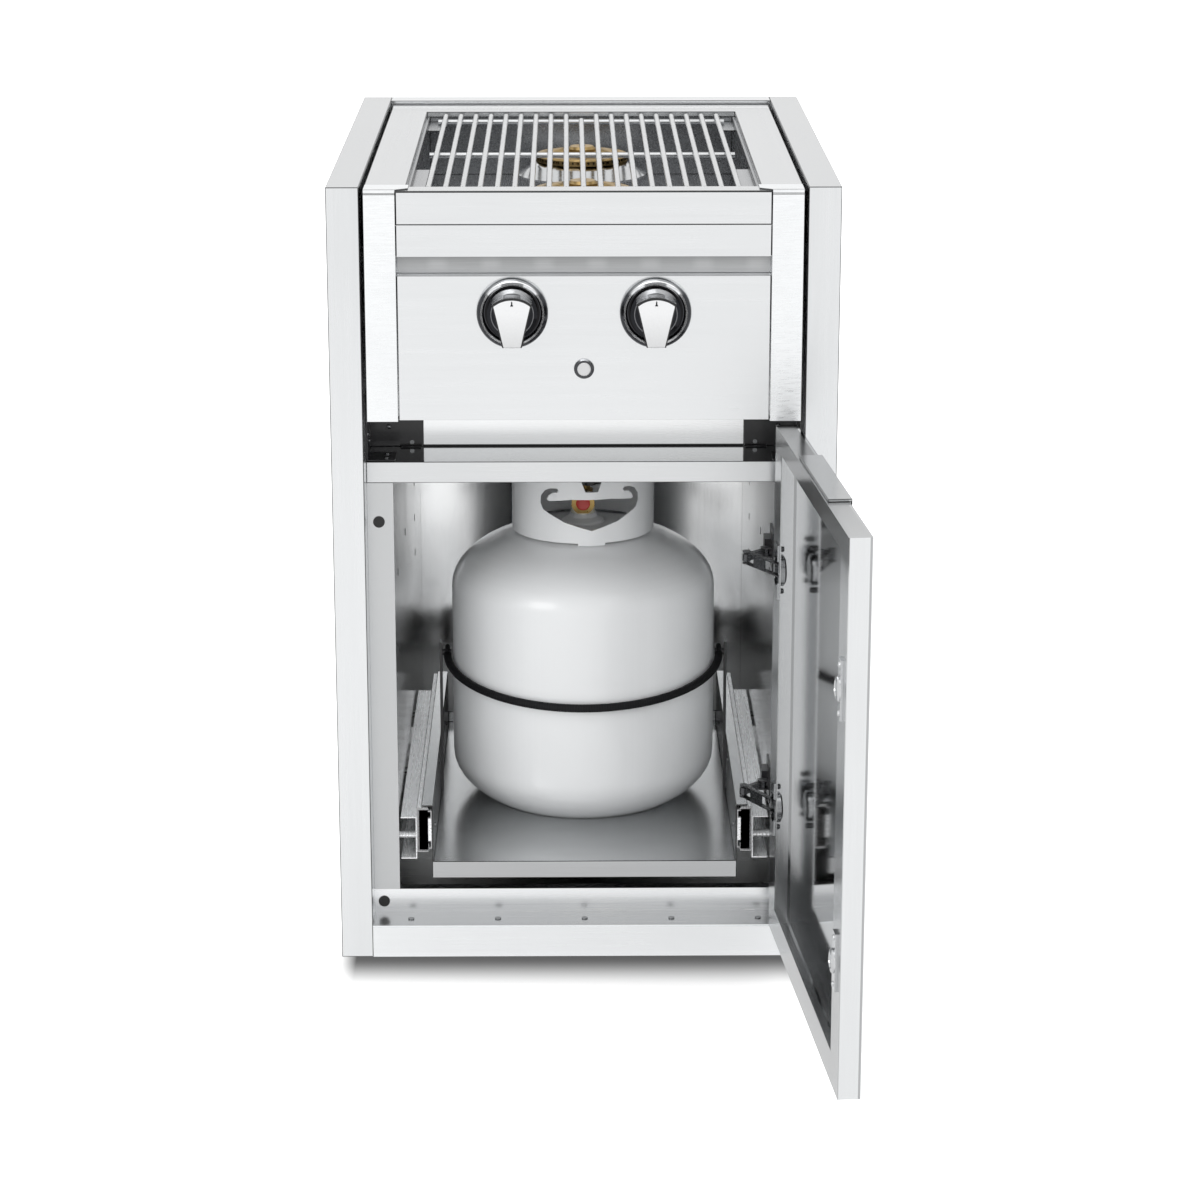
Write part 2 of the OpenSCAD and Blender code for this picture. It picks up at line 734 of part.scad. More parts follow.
// feed pipe under the two valves, turned down to the inlet fitting
module manifold() {
    end_x = knob_x + manifold_over;
    color("dimgray") from_front() {
        along_x(-end_x, manifold_y, manifold_z, pipe_r, 2 * end_x);
        translate([end_x, manifold_y, manifold_z]) sphere(r = pipe_r);
        upright(end_x, manifold_y, manifold_z - inlet_drop, pipe_r, inlet_drop);
        upright(end_x, manifold_y, manifold_z - inlet_drop - inlet_l, inlet_r, inlet_l);
    }
}
module gas_valves() {
    color("goldenrod") from_front() both_sides() translate([knob_x, 0, knob_z]) difference() {
        union() {
            box(-valve_w / 2, valve_w / 2, valve_y0, valve_y1, -valve_down + seat_gap, valve_up);
            along_y(0, sheet, 0, stem_r + 5, valve_y0 - sheet);
            along_y(0, sheet, 0, stem_r + 10, sheet);
            along_y(0, valve_y1, 0, tube_r + 2, barb_l);
        }
        along_y(0, 0, 0, stem_r + pin_fit, valve_deep);
    }
}

// dished round bezel behind a knob
module bezel() {
    rotate([90, 0, 0]) difference() {
        rotate_extrude($fn = 96) polygon([[stem_hole_r, 0], [bezel_d / 2, 0],
            [bezel_d / 2, bezel_h - 5], [bezel_d / 2 - 1.5, bezel_h - 2],
            [bezel_d / 2 - 4, bezel_h], [dish_r + 1, bezel_h - 1], [dish_r, bezel_h - 3],
            [dish_r, sheet], [stem_hole_r, sheet]]);
    }
}
module knob_bezels() {
    color("dimgray") from_front() both_sides() translate([knob_x, 0, knob_z]) bezel();
}
// outline of the tapered grip, with its round crown
module grip_shape(w, foot, drop, crown) {
    intersection() {
        polygon([[-foot / 2, -drop], [foot / 2, -drop], [w / 2, crown * 0.75], [w / 2, crown + 9],
            [-w / 2, crown + 9], [-w / 2, crown * 0.75]]);
        translate([0, crown - 34]) circle(r = 34, $fn = 96);
        translate([0, 12 - drop]) scale(1) circle(r = 60, $fn = 96);
    }
}
module knob() {
    difference() {
        union() {
            translate([0, skirt_y, 0]) rotate([90, 0, 0]) rotate_extrude($fn = 96)
                polygon([[0, 0], [knob_d / 2 - 1, 0], [knob_d / 2, 1], [knob_d / 2, skirt_h - 3],
                    [knob_d / 2 - 4, skirt_h], [0, skirt_h]]);
            translate([0, skirt_y - skirt_h, 0]) rotate([90, 0, 0])
                linear_extrude(knob_reach - cap_t + skirt_y - skirt_h)
                    grip_shape(grip_w, grip_foot, grip_drop, grip_crown);
        }
        along_y(0, -stem_out, 0, stem_r + pin_fit, stem_out);
    }
}
module knob_cap() {
    translate([0, -(knob_reach - cap_t), 0]) rotate([90, 0, 0]) {
        linear_extrude(cap_t - 1) grip_shape(grip_w, grip_foot, grip_drop, grip_crown);
        translate([0, 0, cap_t - 1]) linear_extrude(1)
            grip_shape(grip_w - 2, grip_foot - 2, grip_drop - 1, grip_crown - 1);
    }
}
module left_knob() {
    color("gray") from_front() translate([-knob_x, 0, knob_z]) knob();
}
module right_knob() {
    color("gray") from_front() translate([knob_x, 0, knob_z]) knob();
}
module left_knob_cap() {
    color("white") from_front() translate([-knob_x, 0, knob_z]) knob_cap();
}
module right_knob_cap() {
    color("white") from_front() translate([knob_x, 0, knob_z]) knob_cap();
}
module stem() {
    along_y(0, -stem_out + seat_gap, 0, stem_r,
        stem_out + valve_deep - push_travel - loose_fit - seat_gap);
}
module left_stem() {
    color("silver") from_front() translate([-knob_x, 0, knob_z]) stem();
}
module right_stem() {
    color("silver") from_front() translate([knob_x, 0, knob_z]) stem();
}
module igniter_bezel() {
    color("silver") from_front() translate([0, 0, igniter_z]) rotate([90, 0, 0])
        rotate_extrude() polygon([[igniter_d / 2 + pin_fit, 0], [igniter_bezel_d / 2, 0],
            [igniter_bezel_d / 2, 2], [igniter_bezel_d / 2 - 1.5, 4],
            [igniter_d / 2 + pin_fit, 4]]);
}
module igniter_button() {
    color("white") from_front() translate([0, 0, igniter_z]) rotate([90, 0, 0])
        translate([0, 0, -button_travel - 4]) rotate_extrude()
            polygon([[0, 0], [igniter_d / 2, 0], [igniter_d / 2, button_travel + 3 + button_reach],
                [igniter_d / 2 - 1, button_travel + 4 + button_reach],
                [0, button_travel + 4 + button_reach]]);
}
module igniter_module() {
    color("dimgray") from_front() difference() {
        along_y(0, sheet, igniter_z, module_r, module_l);
        along_y(0, 0, igniter_z, igniter_d / 2 + pin_fit, sheet + 2 * button_travel + 8);
    }
}
// ceramic spark electrodes beside the burners, through the firebox floor
module electrodes() {
    far = base_r + 9;
    color("white") from_front() for (y = burner_ys)
        translate([-far * sin(electrode_turn), y + far * cos(electrode_turn), 0]) {
            upright(0, 0, fire_z + sheet, electrode_r, ring_z - ring_h - fire_z - sheet - 10);
            upright(0, 0, ring_z - ring_h - 10, 1.2, 8);
        }
}

// the grate: bars on three cross rods, the middle bar cut short for lifting
module grate() {
    color("lightgray") from_front() {
        for (i = [0:bars - 1]) {
            cut = (i == (bars - 1) / 2) ? notch_l : 0;
            along_y((i - (bars - 1) / 2) * bar_pitch, bar_y0, bar_z, rod_d / 2, bar_l - cut);
        }
        for (y = cross_ys) along_x(-cross_x, y, cross_z, rod_d / 2, 2 * cross_x);
    }
}

// a folded channel for the slides: web on the outside, flanges turned inwards
module channel(x0, x1, z0, z1, y0, y1) {
    box(x1 - member_t, x1, y0, y1, z0, z1);
    box(x0, x1, y0, y1, z1 - member_t, z1);
    box(x0, x1, y0, y1, z0, z0 + member_t);
}
module slide_brackets() {
    x1 = liner_x - standoff;
    color("lightgray") from_front() both_sides() {
        difference() {
            box(slide_x, x1, rail_d, bracket_end, bracket_z, bracket_z + bracket_h);
            box(slide_x + member_t, x1 + 1, rail_d - 1, bracket_end + 1,
                bracket_z + member_t, bracket_z + bracket_h - member_t);
        }
        for (y = [rail_d + 12, (rail_d + bracket_end) / 2, bracket_end - 20])
            along_x(slide_x + member_t / 2, y, bracket_z + bracket_h / 2, 4,
                liner_x - slide_x - member_t / 2);
    }
}
module outer_slides() {
    color("silver") from_front() both_sides()
        channel(tray_x + 4, slide_x, slide_z0, slide_z1, tray_front, tray_front + tray_l);
}
module middle_slides() {
    inset = member_t + slide_fit;
    color("silver") from_front() both_sides()
        channel(tray_x + 3.5, slide_x - inset, slide_z0 + inset, slide_z1 - inset,
            tray_front, tray_front + tray_l);
}
module inner_slides() {
    inset = 2 * (member_t + slide_fit);
    color("silver") from_front() both_sides() {
        box(tray_x, tray_x + member_t, tray_front, tray_front + tray_l, slide_z0 + inset,
            slide_z1 - inset);
        box(tray_x, slide_x - inset - slide_fit, tray_front, tray_front + tray_l,
            slide_z1 - inset - member_t, slide_z1 - inset);
        box(tray_x, slide_x - inset - slide_fit, tray_front, tray_front + tray_l,
            slide_z0 + inset, slide_z0 + inset + member_t);
        box(tray_x, slide_x - inset - slide_fit, tray_front, tray_front + stop_l,
            slide_z0 + inset + 9, slide_z1 - inset - 9);
    }
}
module tray() {
    color("silver") from_front() difference() {
        union() {
            box(-tray_x, tray_x, tray_front, tray_front + tray_l, tray_z - sheet, tray_z);
            box(-tray_x, tray_x, tray_front, tray_front + sheet, tray_z - tray_lip, tray_z);
            box(-tray_x, tray_x, tray_front, tray_front + return_d, tray_z - tray_lip,
                tray_z - tray_lip + sheet);
            box(-tray_x, tray_x, tray_front + tray_l - sheet, tray_front + tray_l,
                tray_z - sheet, tray_z + 14);
            both_sides() {
                box(tray_x - sheet, tray_x, tray_front, tray_front + tray_l, tray_z - sheet,
                    wall_top);
                box(tray_x - sheet, tray_x + wall_flange, tray_front, tray_front + tray_l,
                    wall_top - sheet, wall_top);
            }
        }
        upright(0, tank_y, tray_z - sheet - 1, seat_d / 2, sheet + 2);
    }
}

// half outline of the cylinder's shell at radius R, from its low end to its top
function tank_points(R, low, high) = concat(
    [for (i = [0:dome_steps]) let (a = 90 * i / dome_steps) [R * sin(a), low - R / 2 * cos(a)]],
    [for (i = [0:dome_steps]) let (a = 90 * i / dome_steps) [R * cos(a), high + R / 2 * sin(a)]]);
module tank_body() {
    color("whitesmoke") from_front() translate([0, tank_y, 0]) {
        difference() {
            rotate_extrude($fn = 96) polygon(tank_points(tank_r, tank_z0, tank_z1));
            rotate_extrude($fn = 96) polygon(tank_points(tank_r - tank_wall, tank_z0, tank_z1));
        }
        rotate_extrude() polygon([[0, tank_top - 3], [27, tank_top - 3], [25, tank_top + 1],
            [17.5, tank_top + 5], [15.5, tank_top + boss_h], [0, tank_top + boss_h]]);
    }
}
module tank_foot() {
    r1 = foot_d / 2;
    r0 = r1 - tank_wall;
    color("whitesmoke") from_front() translate([0, tank_y, 0]) rotate_extrude($fn = 96)
        polygon([[r0, tank_low - foot_drop], [r1, tank_low - foot_drop],
            [r1, tank_z0 - dome(r1, tank_r) - seat_gap], [r0, tank_z0 - dome(r0, tank_r) - seat_gap]]);
}
// the guard round the valve, with its hand openings and three feet
module tank_collar() {
    r = collar_d / 2;
    z = tank_top;
    color("whitesmoke") from_front() translate([0, tank_y, 0]) rotate([0, 0, collar_turn])
        difference() {
            upright(0, 0, collar_seat, r, collar_top - collar_seat);
            upright(0, 0, collar_seat - 1, r - collar_t, collar_top - collar_seat + 2);
            for (a = [-30, 90, 210]) rotate([0, 0, a]) translate([0, 0, collar_seat - 1])
                linear_extrude(collar_low - collar_seat + 1) polygon([[0, 0],
                    for (b = [-collar_gap, 0, collar_gap]) 2 * r * [cos(b), sin(b)]]);
            rotate([90, 0, 0]) linear_extrude(r + 5) translate([0, z]) polygon([[0, 7],
                for (k = [1, -1], p = (k > 0) ? hand_window : reversed(hand_window))
                    [k * p[0], p[1]]]);
            rotate([90, 0, 0]) linear_extrude(r + 5) polygon([[-7.4, z + 54], [7.4, z + 54],
                [12, z + 66], [12, collar_top + 1], [-12, collar_top + 1], [-12, z + 66]]);
            rotate([-90, 0, 0]) linear_extrude(r + 5) polygon([[-48, -z - 22], [48, -z - 22],
                [52, -z - 32], [44, -z - 46], [-44, -z - 46], [-52, -z - 32]]);
        }
}
module tank_valve() {
    color("goldenrod") from_front() translate([0, tank_y, tank_top + boss_h]) {
        upright(0, 0, 0, 14.3, base_ring_h);
        upright(0, 0, base_ring_h / 2, 12, valve_h - 9 - base_ring_h / 2);
        upright(0, 0, valve_h - 10, 9, 10);
        along_y(0, -34, outlet_z, 10, 34);
        along_y(0, -38, outlet_z, 13.6, 16);
        along_y(0, 0, outlet_z, 8, 22);
        upright(0, 0, valve_h - 1, spindle_r, 9);
    }
}
module tank_handwheel() {
    color("dimgray") from_front() translate([0, tank_y, tank_top + boss_h + valve_h + seat_gap]) difference() {
        cylinder(d = wheel_d, h = 12);
        for (i = [0:7]) rotate([0, 0, i * 45]) upright(wheel_d / 2 + 3, 0, -1, 6, 14);
        upright(0, 0, -1, spindle_r + pin_fit, 9.5);
    }
}
// elastic cord round the front of the cylinder, ending in a loop at each side
module strap() {
    color("black") from_front() translate([0, tank_y, strap_z]) {
        rotate([strap_tilt, 0, 0]) rotate([0, 0, 180 + strap_end])
            rotate_extrude(angle = 180 - 2 * strap_end, $fn = 96)
            translate([strap_r, 0]) circle(d = strap_d, $fn = 24);
        both_sides() translate([strap_r, 0, 0]) rotate([0, 90, 0])
            rotate_extrude($fn = 48) translate([loop_r, 0]) circle(d = loop_d, $fn = 24);
    }
}
module strap_posts() {
    x1 = tray_x - sheet;
    color("black") from_front() both_sides() {
        box(x1 - post_t, x1, tank_y - post_w / 2, tank_y + post_w / 2, tray_z, strap_z + 14);
        along_x(strap_r - 5, tank_y, strap_z, peg_r, x1 - strap_r + 5);
    }
}

// the door: a folded pan with a flange all round its open back
module door_panel() {
    color("gainsboro") from_front() as_open_door() difference() {
        box(-door_x, door_x, 0, door_t, door_z0, door_z1);
        box(-door_x + sheet, door_x - sheet, sheet, door_t - sheet, door_z0 + sheet,
            door_z1 - sheet);
        box(-door_x + free_flange, door_x - hinge_flange, door_t - sheet - 1, door_t + 1,
            door_z0 + low_flange, door_z1 - top_flange);
        for (z = hinge_zs) {
            along_y(cup_x, door_t - sheet - 1, z, cup_d / 2 + pin_fit, sheet + 2);
            for (s = [-1, 1]) along_y(cup_x, door_t - sheet - 1, z + s * (plate_l / 2 - plate_edge),
                screw_r + pin_fit, sheet + 2);
        }
        for (z = catch_zs) along_y(catch_x, door_t - sheet - 1, z, screw_r + pin_fit, sheet + 2);
    }
}
// finger pull folded over the door's top edge
module door_handle() {
    x0 = -door_x + handle_end;
    color("lightgray") from_front() as_open_door() {
        box(x0, x0 + handle_l, -handle_over, door_t - 2, door_z1, door_z1 + handle_t);
        box(x0, x0 + handle_l, -handle_over, -handle_over + sheet, door_z1 - 6, door_z1);
    }
}
// hinge cups with their plates, screws and the pins for the arms
module hinge_cups() {
    color("silver") from_front() as_open_door() for (z = hinge_zs) {
        difference() {
            union() {
                along_y(cup_x, door_t - cup_deep + 2, z, cup_d / 2, cup_deep - 2);
                translate([cup_x, door_t - cup_deep, z]) rotate([-90, 0, 0])
                    cylinder(r1 = cup_d / 2 - 3, r2 = cup_d / 2, h = 2);
                box(cup_x - 11, cup_x + 11, door_t, door_t + 1.2, z - plate_l / 2,
                    z + plate_l / 2);
            }
            along_y(cup_x, door_t - cup_deep + 2, z, cup_d / 2 - 1, cup_deep + 1);
            along_y(cup_x, door_t - cup_deep + 1, z, cup_d / 2 - 4, 2);
        }
        upright(arm_pin[0], arm_pin[1], z - cup_d / 2 + 0.5, arm_pin_r, cup_d - 1);
        for (s = [-1, 1]) along_y(cup_x, door_t - 5, z + s * (plate_l / 2 - plate_edge), screw_r, 5);
    }
}
// the plates that the magnets hold, each on one screw
module door_catches() {
    color("dimgray") from_front() as_open_door() for (z = catch_zs) {
        box(catch_x - 8, catch_x + 8, door_t, door_t + 3, z - plate_l / 2, z + plate_l / 2);
        along_y(catch_x, door_t - 5, z, screw_r, 5);
    }
}
// outline of a flat lever with round ends, along +Y
module lever_shape(l, half, r_near, r_far) {
    circle(r = r_near, $fn = 32);
    translate([-half, 0]) square([2 * half, l]);
    translate([0, l]) circle(r = r_far, $fn = 32);
}
module hinge_arms() {
    color("silver") from_front() for (z = hinge_zs) translate([arm_rest[0], arm_rest[1], z])
        rotate([0, 0, arm_tilt]) {
            difference() {
                both_cheeks() linear_extrude(sheet) lever_shape(arm_l, 3, 3.4, 4.6);
                upright(0, 0, -20, arm_pin_r + pin_fit, 40);
            }
            upright(0, arm_l, -cheek_z - sheet, arm_pin_r, 2 * (cheek_z + sheet));
            box(-3, -1.5, 26, arm_l - 18, -cheek_z - sheet, cheek_z + sheet);
        }
}
module both_cheeks() {
    translate([0, 0, cheek_z]) children();
    translate([0, 0, -cheek_z - sheet]) children();
}
// short links between the liner plates and the arms
module hinge_links() {
    reach = arm_end - link_base;
    color("silver") from_front() for (z = hinge_zs) translate([link_base[0], link_base[1], z])
        rotate([0, 0, atan2(reach[1], reach[0]) - 90]) difference() {
            translate([0, 0, -ear_z + seat_gap]) linear_extrude(2 * (ear_z - seat_gap))
                lever_shape(norm(reach), 3, 4.8, 4.8);
            upright(0, 0, -20, link_pin_r + pin_fit, 40);
            upright(0, norm(reach), -20, arm_pin_r + link_slack, 40);
        }
}
// plates on the right liner, each with two ears and the pin for its link
module hinge_plates() {
    x = link_base[0];
    y = link_base[1];
    color("dimgray") from_front() for (z = hinge_zs) {
        box(liner_x - sheet, liner_x, y - 6, y + 44, z - 22, z + 22);
        difference() {
            box(liner_x - 9, liner_x - sheet / 2, y + 14, y + 40, z - 11, z + 11);
            box(liner_x - 7, liner_x + 1, y + 16, y + 38, z - 8, z + 8);
        }
        for (s = [-1, 1]) translate([0, 0, z + s * (ear_z + ear_t / 2) - ear_t / 2]) {
            upright(x, y, 0, 5.5, ear_t);
            box(x, liner_x - sheet / 2, y - 5.5, y + 5.5, 0, ear_t);
        }
        upright(x, y, z - ear_z - ear_t, link_pin_r, 2 * (ear_z + ear_t));
    }
}

left_side_panel();
right_side_panel();
bottom_rail();
top_rear_rail();
floor_pan();
back_panel();
left_liner();
right_liner();
sill();
screws();
shelf();
corner_brackets();
burner_housing();
firebox();
top_panel();
rear_trim();
left_pillar();
right_pillar();
upper_fascia();
lower_fascia();
vent_strip();
control_panel();
burner_bases();
burner_rings();
burner_caps();
gas_tubes();
manifold();
gas_valves();
knob_bezels();
igniter_bezel();
igniter_module();
electrodes();
slide_brackets();
outer_slides();
jamb_plugs();
hinge_plates();
grate();
left_stem();
right_stem();
left_knob();
right_knob();
left_knob_cap();
right_knob_cap();
igniter_button();
middle_slides();
inner_slides();
tray();
tank_body();
tank_foot();
tank_collar();
tank_valve();
tank_handwheel();
strap();
strap_posts();
door_panel();
door_handle();
hinge_cups();
door_catches();
hinge_arms();
hinge_links();
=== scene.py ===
# Looks of the outdoor kitchen side burner cabinet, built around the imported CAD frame.
import math
import bmesh
import bpy
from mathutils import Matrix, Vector


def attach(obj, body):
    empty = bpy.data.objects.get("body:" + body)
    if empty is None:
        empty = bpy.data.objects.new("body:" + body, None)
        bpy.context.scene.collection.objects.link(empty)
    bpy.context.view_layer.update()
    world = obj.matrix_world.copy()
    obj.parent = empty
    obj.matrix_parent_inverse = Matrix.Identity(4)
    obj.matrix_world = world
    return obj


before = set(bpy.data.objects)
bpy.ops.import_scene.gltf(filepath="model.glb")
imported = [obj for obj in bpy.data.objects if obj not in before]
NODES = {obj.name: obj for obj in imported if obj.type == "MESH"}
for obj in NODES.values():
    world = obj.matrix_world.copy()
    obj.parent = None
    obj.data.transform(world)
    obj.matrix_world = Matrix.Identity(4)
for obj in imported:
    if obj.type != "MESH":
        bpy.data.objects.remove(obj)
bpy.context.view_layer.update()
MM = 0.001
HALF_DEPTH = 0.372

# Places on the part, in metres, and the door's opening.
STRAP_Z = 0.275
STRAP_Y = 0.300 - HALF_DEPTH
STRAP_RADIUS = 0.1645
BURNERS = (0.197 - HALF_DEPTH, 0.465 - HALF_DEPTH)
BURNER_REACH = 0.09
PORTS_Z = 0.8525
PIVOT = (0.2384, -0.0035 - HALF_DEPTH)
DOOR_OPEN = math.radians(94.9)
DOOR_SKIN = (0.0008, 0.0030)
DOOR_BACK = 0.0232
# Height band above which the door's back flange is painted darker, as shade.
DOOR_RIM_SHADE_Z = (0.588, 0.600)
HOUSING_SLIT_SHADE_Z = (0.5758, 0.5766)
TRIM_GROOVE_Z = (0.8795, 0.8835)
JAMB_Y = -0.2
VENT_Z = (0.792, 0.803, 0.813)
VENT_GLINT_SPACING = 0.058
VALVE_BASE_TOP = 0.4578
KNOB_X, KNOB_Z = 0.078, 0.752
# The grip, in millimetres: width at its top, width at its foot, foot below the knob's axis,
# crown above it, radius of the crown's arc, and the black rim at the sides and on the crown.
GRIP_WIDE, GRIP_FOOT, GRIP_DROP, GRIP_CROWN = 44.0, 21.0, 31.5, 23.0
GRIP_ARC, RIM_SIDE, RIM_CROWN = 34.0, 1.5, 2.3
# Radii on the bezel and the knob's body, in millimetres.
BEZEL_STEP, BEZEL_EDGE, BEZEL_HIGHLIGHT_RING = 30.0, 36.0, (32.8, 34.8)
KNOB_GROOVE = (22.6, 23.6)

# Numbers that the materials share.
BRUSH_FINE, BRUSH_LONG = 900.0, 14.0
FACES_UP = 0.7
BRUSH_DEEP = 0.00012
BRASS_MOTTLE, KNOB_LINES = 38.0, 700.0
WHITE = (1.0, 1.0, 1.0)


def front(x, y, z):
    """A place in the scene for a point in millimetres, with y from the front face."""
    return Vector((x * MM, y * MM - HALF_DEPTH, z * MM))


# ---------------------------------------------------------------- materials
class Graph:
    """Small helper that makes and links the nodes of one material."""

    def __init__(self, name):
        self.mat = bpy.data.materials.new(name)
        self.mat.use_nodes = True
        self.nt = self.mat.node_tree
        self.nt.nodes.clear()
        self.out = self.nt.nodes.new("ShaderNodeOutputMaterial")
        self.bsdf = self.nt.nodes.new("ShaderNodeBsdfPrincipled")
        self.link(self.bsdf.outputs[0], self.out.inputs[0])
        self.coords = self.nt.nodes.new("ShaderNodeTexCoord").outputs["Object"]
        split = self.nt.nodes.new("ShaderNodeSeparateXYZ")
        self.link(self.coords, split.inputs[0])
        self.x, self.y, self.z = split.outputs
        facing = self.nt.nodes.new("ShaderNodeSeparateXYZ")
        self.link(self.nt.nodes.new("ShaderNodeNewGeometry").outputs["True Normal"],
                  facing.inputs[0])
        self.nx, self.ny, self.nz = facing.outputs

    def link(self, a, b):
        self.nt.links.new(a, b)

    def new(self, kind, **values):
        node = self.nt.nodes.new(kind)
        for key, value in values.items():
            setattr(node, key, value)
        return node

    def set(self, **values):
        for key, value in values.items():
            self.bsdf.inputs[key.replace("_", " ")].default_value = value

    def noise(self, scale, detail=2.0, rough=0.5, stretch=(1, 1, 1), shift=(0, 0, 0)):
        mapping = self.new("ShaderNodeMapping")
        mapping.inputs["Scale"].default_value = stretch
        mapping.inputs["Location"].default_value = shift
        self.link(self.coords, mapping.inputs["Vector"])
        tex = self.new("ShaderNodeTexNoise")
        tex.inputs["Scale"].default_value = scale
        tex.inputs["Detail"].default_value = detail
        tex.inputs["Roughness"].default_value = rough
        self.link(mapping.outputs[0], tex.inputs["Vector"])
        return tex.outputs["Fac"]

    def remap(self, value, lo, hi, start=0.3, end=0.7, kind="LINEAR"):
        node = self.new("ShaderNodeMapRange", clamp=True, interpolation_type=kind)
        self.link(value, node.inputs["Value"])
        node.inputs["From Min"].default_value = start
        node.inputs["From Max"].default_value = end
        node.inputs["To Min"].default_value = lo
        node.inputs["To Max"].default_value = hi
        return node.outputs[0]

    def streaks(self, along, detail=3.0, rough=0.65, scale=1.0, shift=(0, 0, 0)):
        """Fine brushing lines that run along one axis."""
        stretch = [BRUSH_LONG * scale if axis == along else BRUSH_FINE * scale for axis in "xyz"]
        return self.noise(1.0, detail, rough, stretch, shift)

    def math(self, op, a, b=None):
        node = self.new("ShaderNodeMath", operation=op)
        for socket, value in zip(node.inputs, (a, b)):
            if value is None:
                continue
            if isinstance(value, (int, float)):
                socket.default_value = value
            else:
                self.link(value, socket)
        return node.outputs[0]

    def total(self, *terms):
        """Sum of values, each given with its weight."""
        parts = [self.math("MULTIPLY", value, weight) for value, weight in terms]
        total = parts[0]
        for part in parts[1:]:
            total = self.math("ADD", total, part)
        return total

    def hypot(self, a, b):
        return self.math("SQRT", self.math("ADD", self.math("MULTIPLY", a, a),
                                           self.math("MULTIPLY", b, b)))

    def over(self, value, level):
        return self.math("GREATER_THAN", value, level)

    def within(self, value, low, high):
        return self.math("MULTIPLY", self.over(value, low), self.math("LESS_THAN", value, high))

    def colours(self, value, *stops):
        ramp = self.new("ShaderNodeValToRGB")
        self.link(value, ramp.inputs[0])
        els = ramp.color_ramp.elements
        while len(els) < len(stops):
            els.new(0.5)
        for el, (pos, rgb) in zip(els, stops):
            el.position = pos
            el.color = (*rgb, 1)
        return ramp.outputs[0]

    def shades(self, value, rgb, low, high):
        """A colour that goes from a darker to a lighter shade with the value."""
        return self.colours(value, (0.3, tint(rgb, low)), (0.7, tint(rgb, high)))

    def blend(self, mask, a, b):
        """Goes from a to b with the mask; each is a colour, a number or a socket."""
        number = isinstance(a, (int, float)) or isinstance(b, (int, float))
        node = self.new("ShaderNodeMix", data_type="FLOAT" if number else "RGBA")
        ends = (2, 3) if number else (6, 7)
        self.link(mask, node.inputs[0])
        for index, value in zip(ends, (a, b)):
            if isinstance(value, (int, float)):
                node.inputs[index].default_value = value
            elif isinstance(value, tuple):
                node.inputs[index].default_value = (*value, 1)
            else:
                self.link(value, node.inputs[index])
        return node.outputs[0 if number else 2]

    def scaled(self, colour, factor):
        node = self.new("ShaderNodeVectorMath", operation="SCALE")
        self.link(colour, node.inputs[0])
        self.link(factor, node.inputs["Scale"])
        return node.outputs[0]

    def paint_with(self, colour, factor=None):
        if factor is not None:
            colour = self.scaled(colour, factor)
        self.link(colour, self.bsdf.inputs["Base Color"])

    def rough_with(self, value):
        self.link(value, self.bsdf.inputs["Roughness"])

    def painted_edge_shade(self, dark=0.14):
        """A factor that darkens the eased edges of folded sheet: painted shade along the folds."""
        widest = self.math("MAXIMUM", self.math("ABSOLUTE", self.nx),
                           self.math("ABSOLUTE", self.ny))
        widest = self.math("MAXIMUM", widest, self.math("ABSOLUTE", self.nz))
        return self.remap(widest, dark, 1.0, 0.955, 0.985)

    def faces(self, up):
        """A factor that paints light and shade on the faces that look up; the rest keep theirs."""
        return self.blend(self.over(self.nz, FACES_UP), 1.0, up)

    def bump(self, height, strength, distance, after=None):
        node = self.new("ShaderNodeBump")
        node.inputs["Strength"].default_value = strength
        node.inputs["Distance"].default_value = distance
        self.link(height, node.inputs["Height"])
        if after is not None:
            self.link(after, node.inputs["Normal"])
        self.link(node.outputs[0], self.bsdf.inputs["Normal"])
        return node.outputs[0]


def tint(rgb, k):
    return tuple(min(1.0, c * k) for c in rgb)


def brushed(name, rgb, rough, along="x", grain=1.0, cloud=0.05, painted_height_shade=None, up=1.0):
    """Brushed sheet: fine streaks along one axis, soft cloudy variation and faint smudges, with
    painted shade at its eased edges.
    The painted shade by height is given as (low z, high z, factor low, factor high); up scales the
    faces that look up as painted light and shade."""
    g = Graph(name)
    streak = g.streaks(along)
    wide = g.streaks(along, 2.0, 0.5, 0.16, (3, 7, 1))
    value = g.total((streak, 0.45), (wide, 0.35), (g.noise(5.0, 3.0, 0.55), 0.2))
    colour = g.colours(value, (0.30, tint(rgb, 1 - cloud)), (0.50, rgb),
                       (0.70, tint(rgb, 1 + cloud)))
    # Painted shade at the eased edges, times the painted light and shade of the faces that look up.
    factor = g.math("MULTIPLY", g.painted_edge_shade(), g.faces(up))
    # Painted shade by height.
    if painted_height_shade:
        bottom, top, low, high = painted_height_shade
        factor = g.math("MULTIPLY", factor, g.remap(g.z, low, high, bottom, top))
    g.paint_with(colour, factor)
    g.rough_with(g.remap(value, rough * 0.8, rough * 1.25))
    g.set(Metallic=1.0)
    g.bump(streak, 0.12 * grain, BRUSH_DEEP)
    return g.mat


def polished(name, rgb, rough, cloud=0.03, wave=0.05, folded=False):
    """Bright drawn or polished metal with a slight ripple and fine wipe marks; folded pieces get
    painted shade at their eased edges.
    """
    g = Graph(name)
    blot = g.noise(9.0, 4.0, 0.6)
    scratch = g.noise(1.0, 2.0, 0.6, (60, 420, 900))
    colour = g.shades(blot, rgb, 1 - cloud, 1 + cloud)
    # Folded pieces get painted shade at their eased edges.
    g.paint_with(colour, g.painted_edge_shade() if folded else None)
    g.rough_with(g.remap(scratch, rough * 0.7, rough * 1.4))
    g.set(Metallic=1.0)
    ripple = g.bump(blot, wave, 0.002)
    g.bump(scratch, 0.03, 0.0001, ripple)
    return g.mat


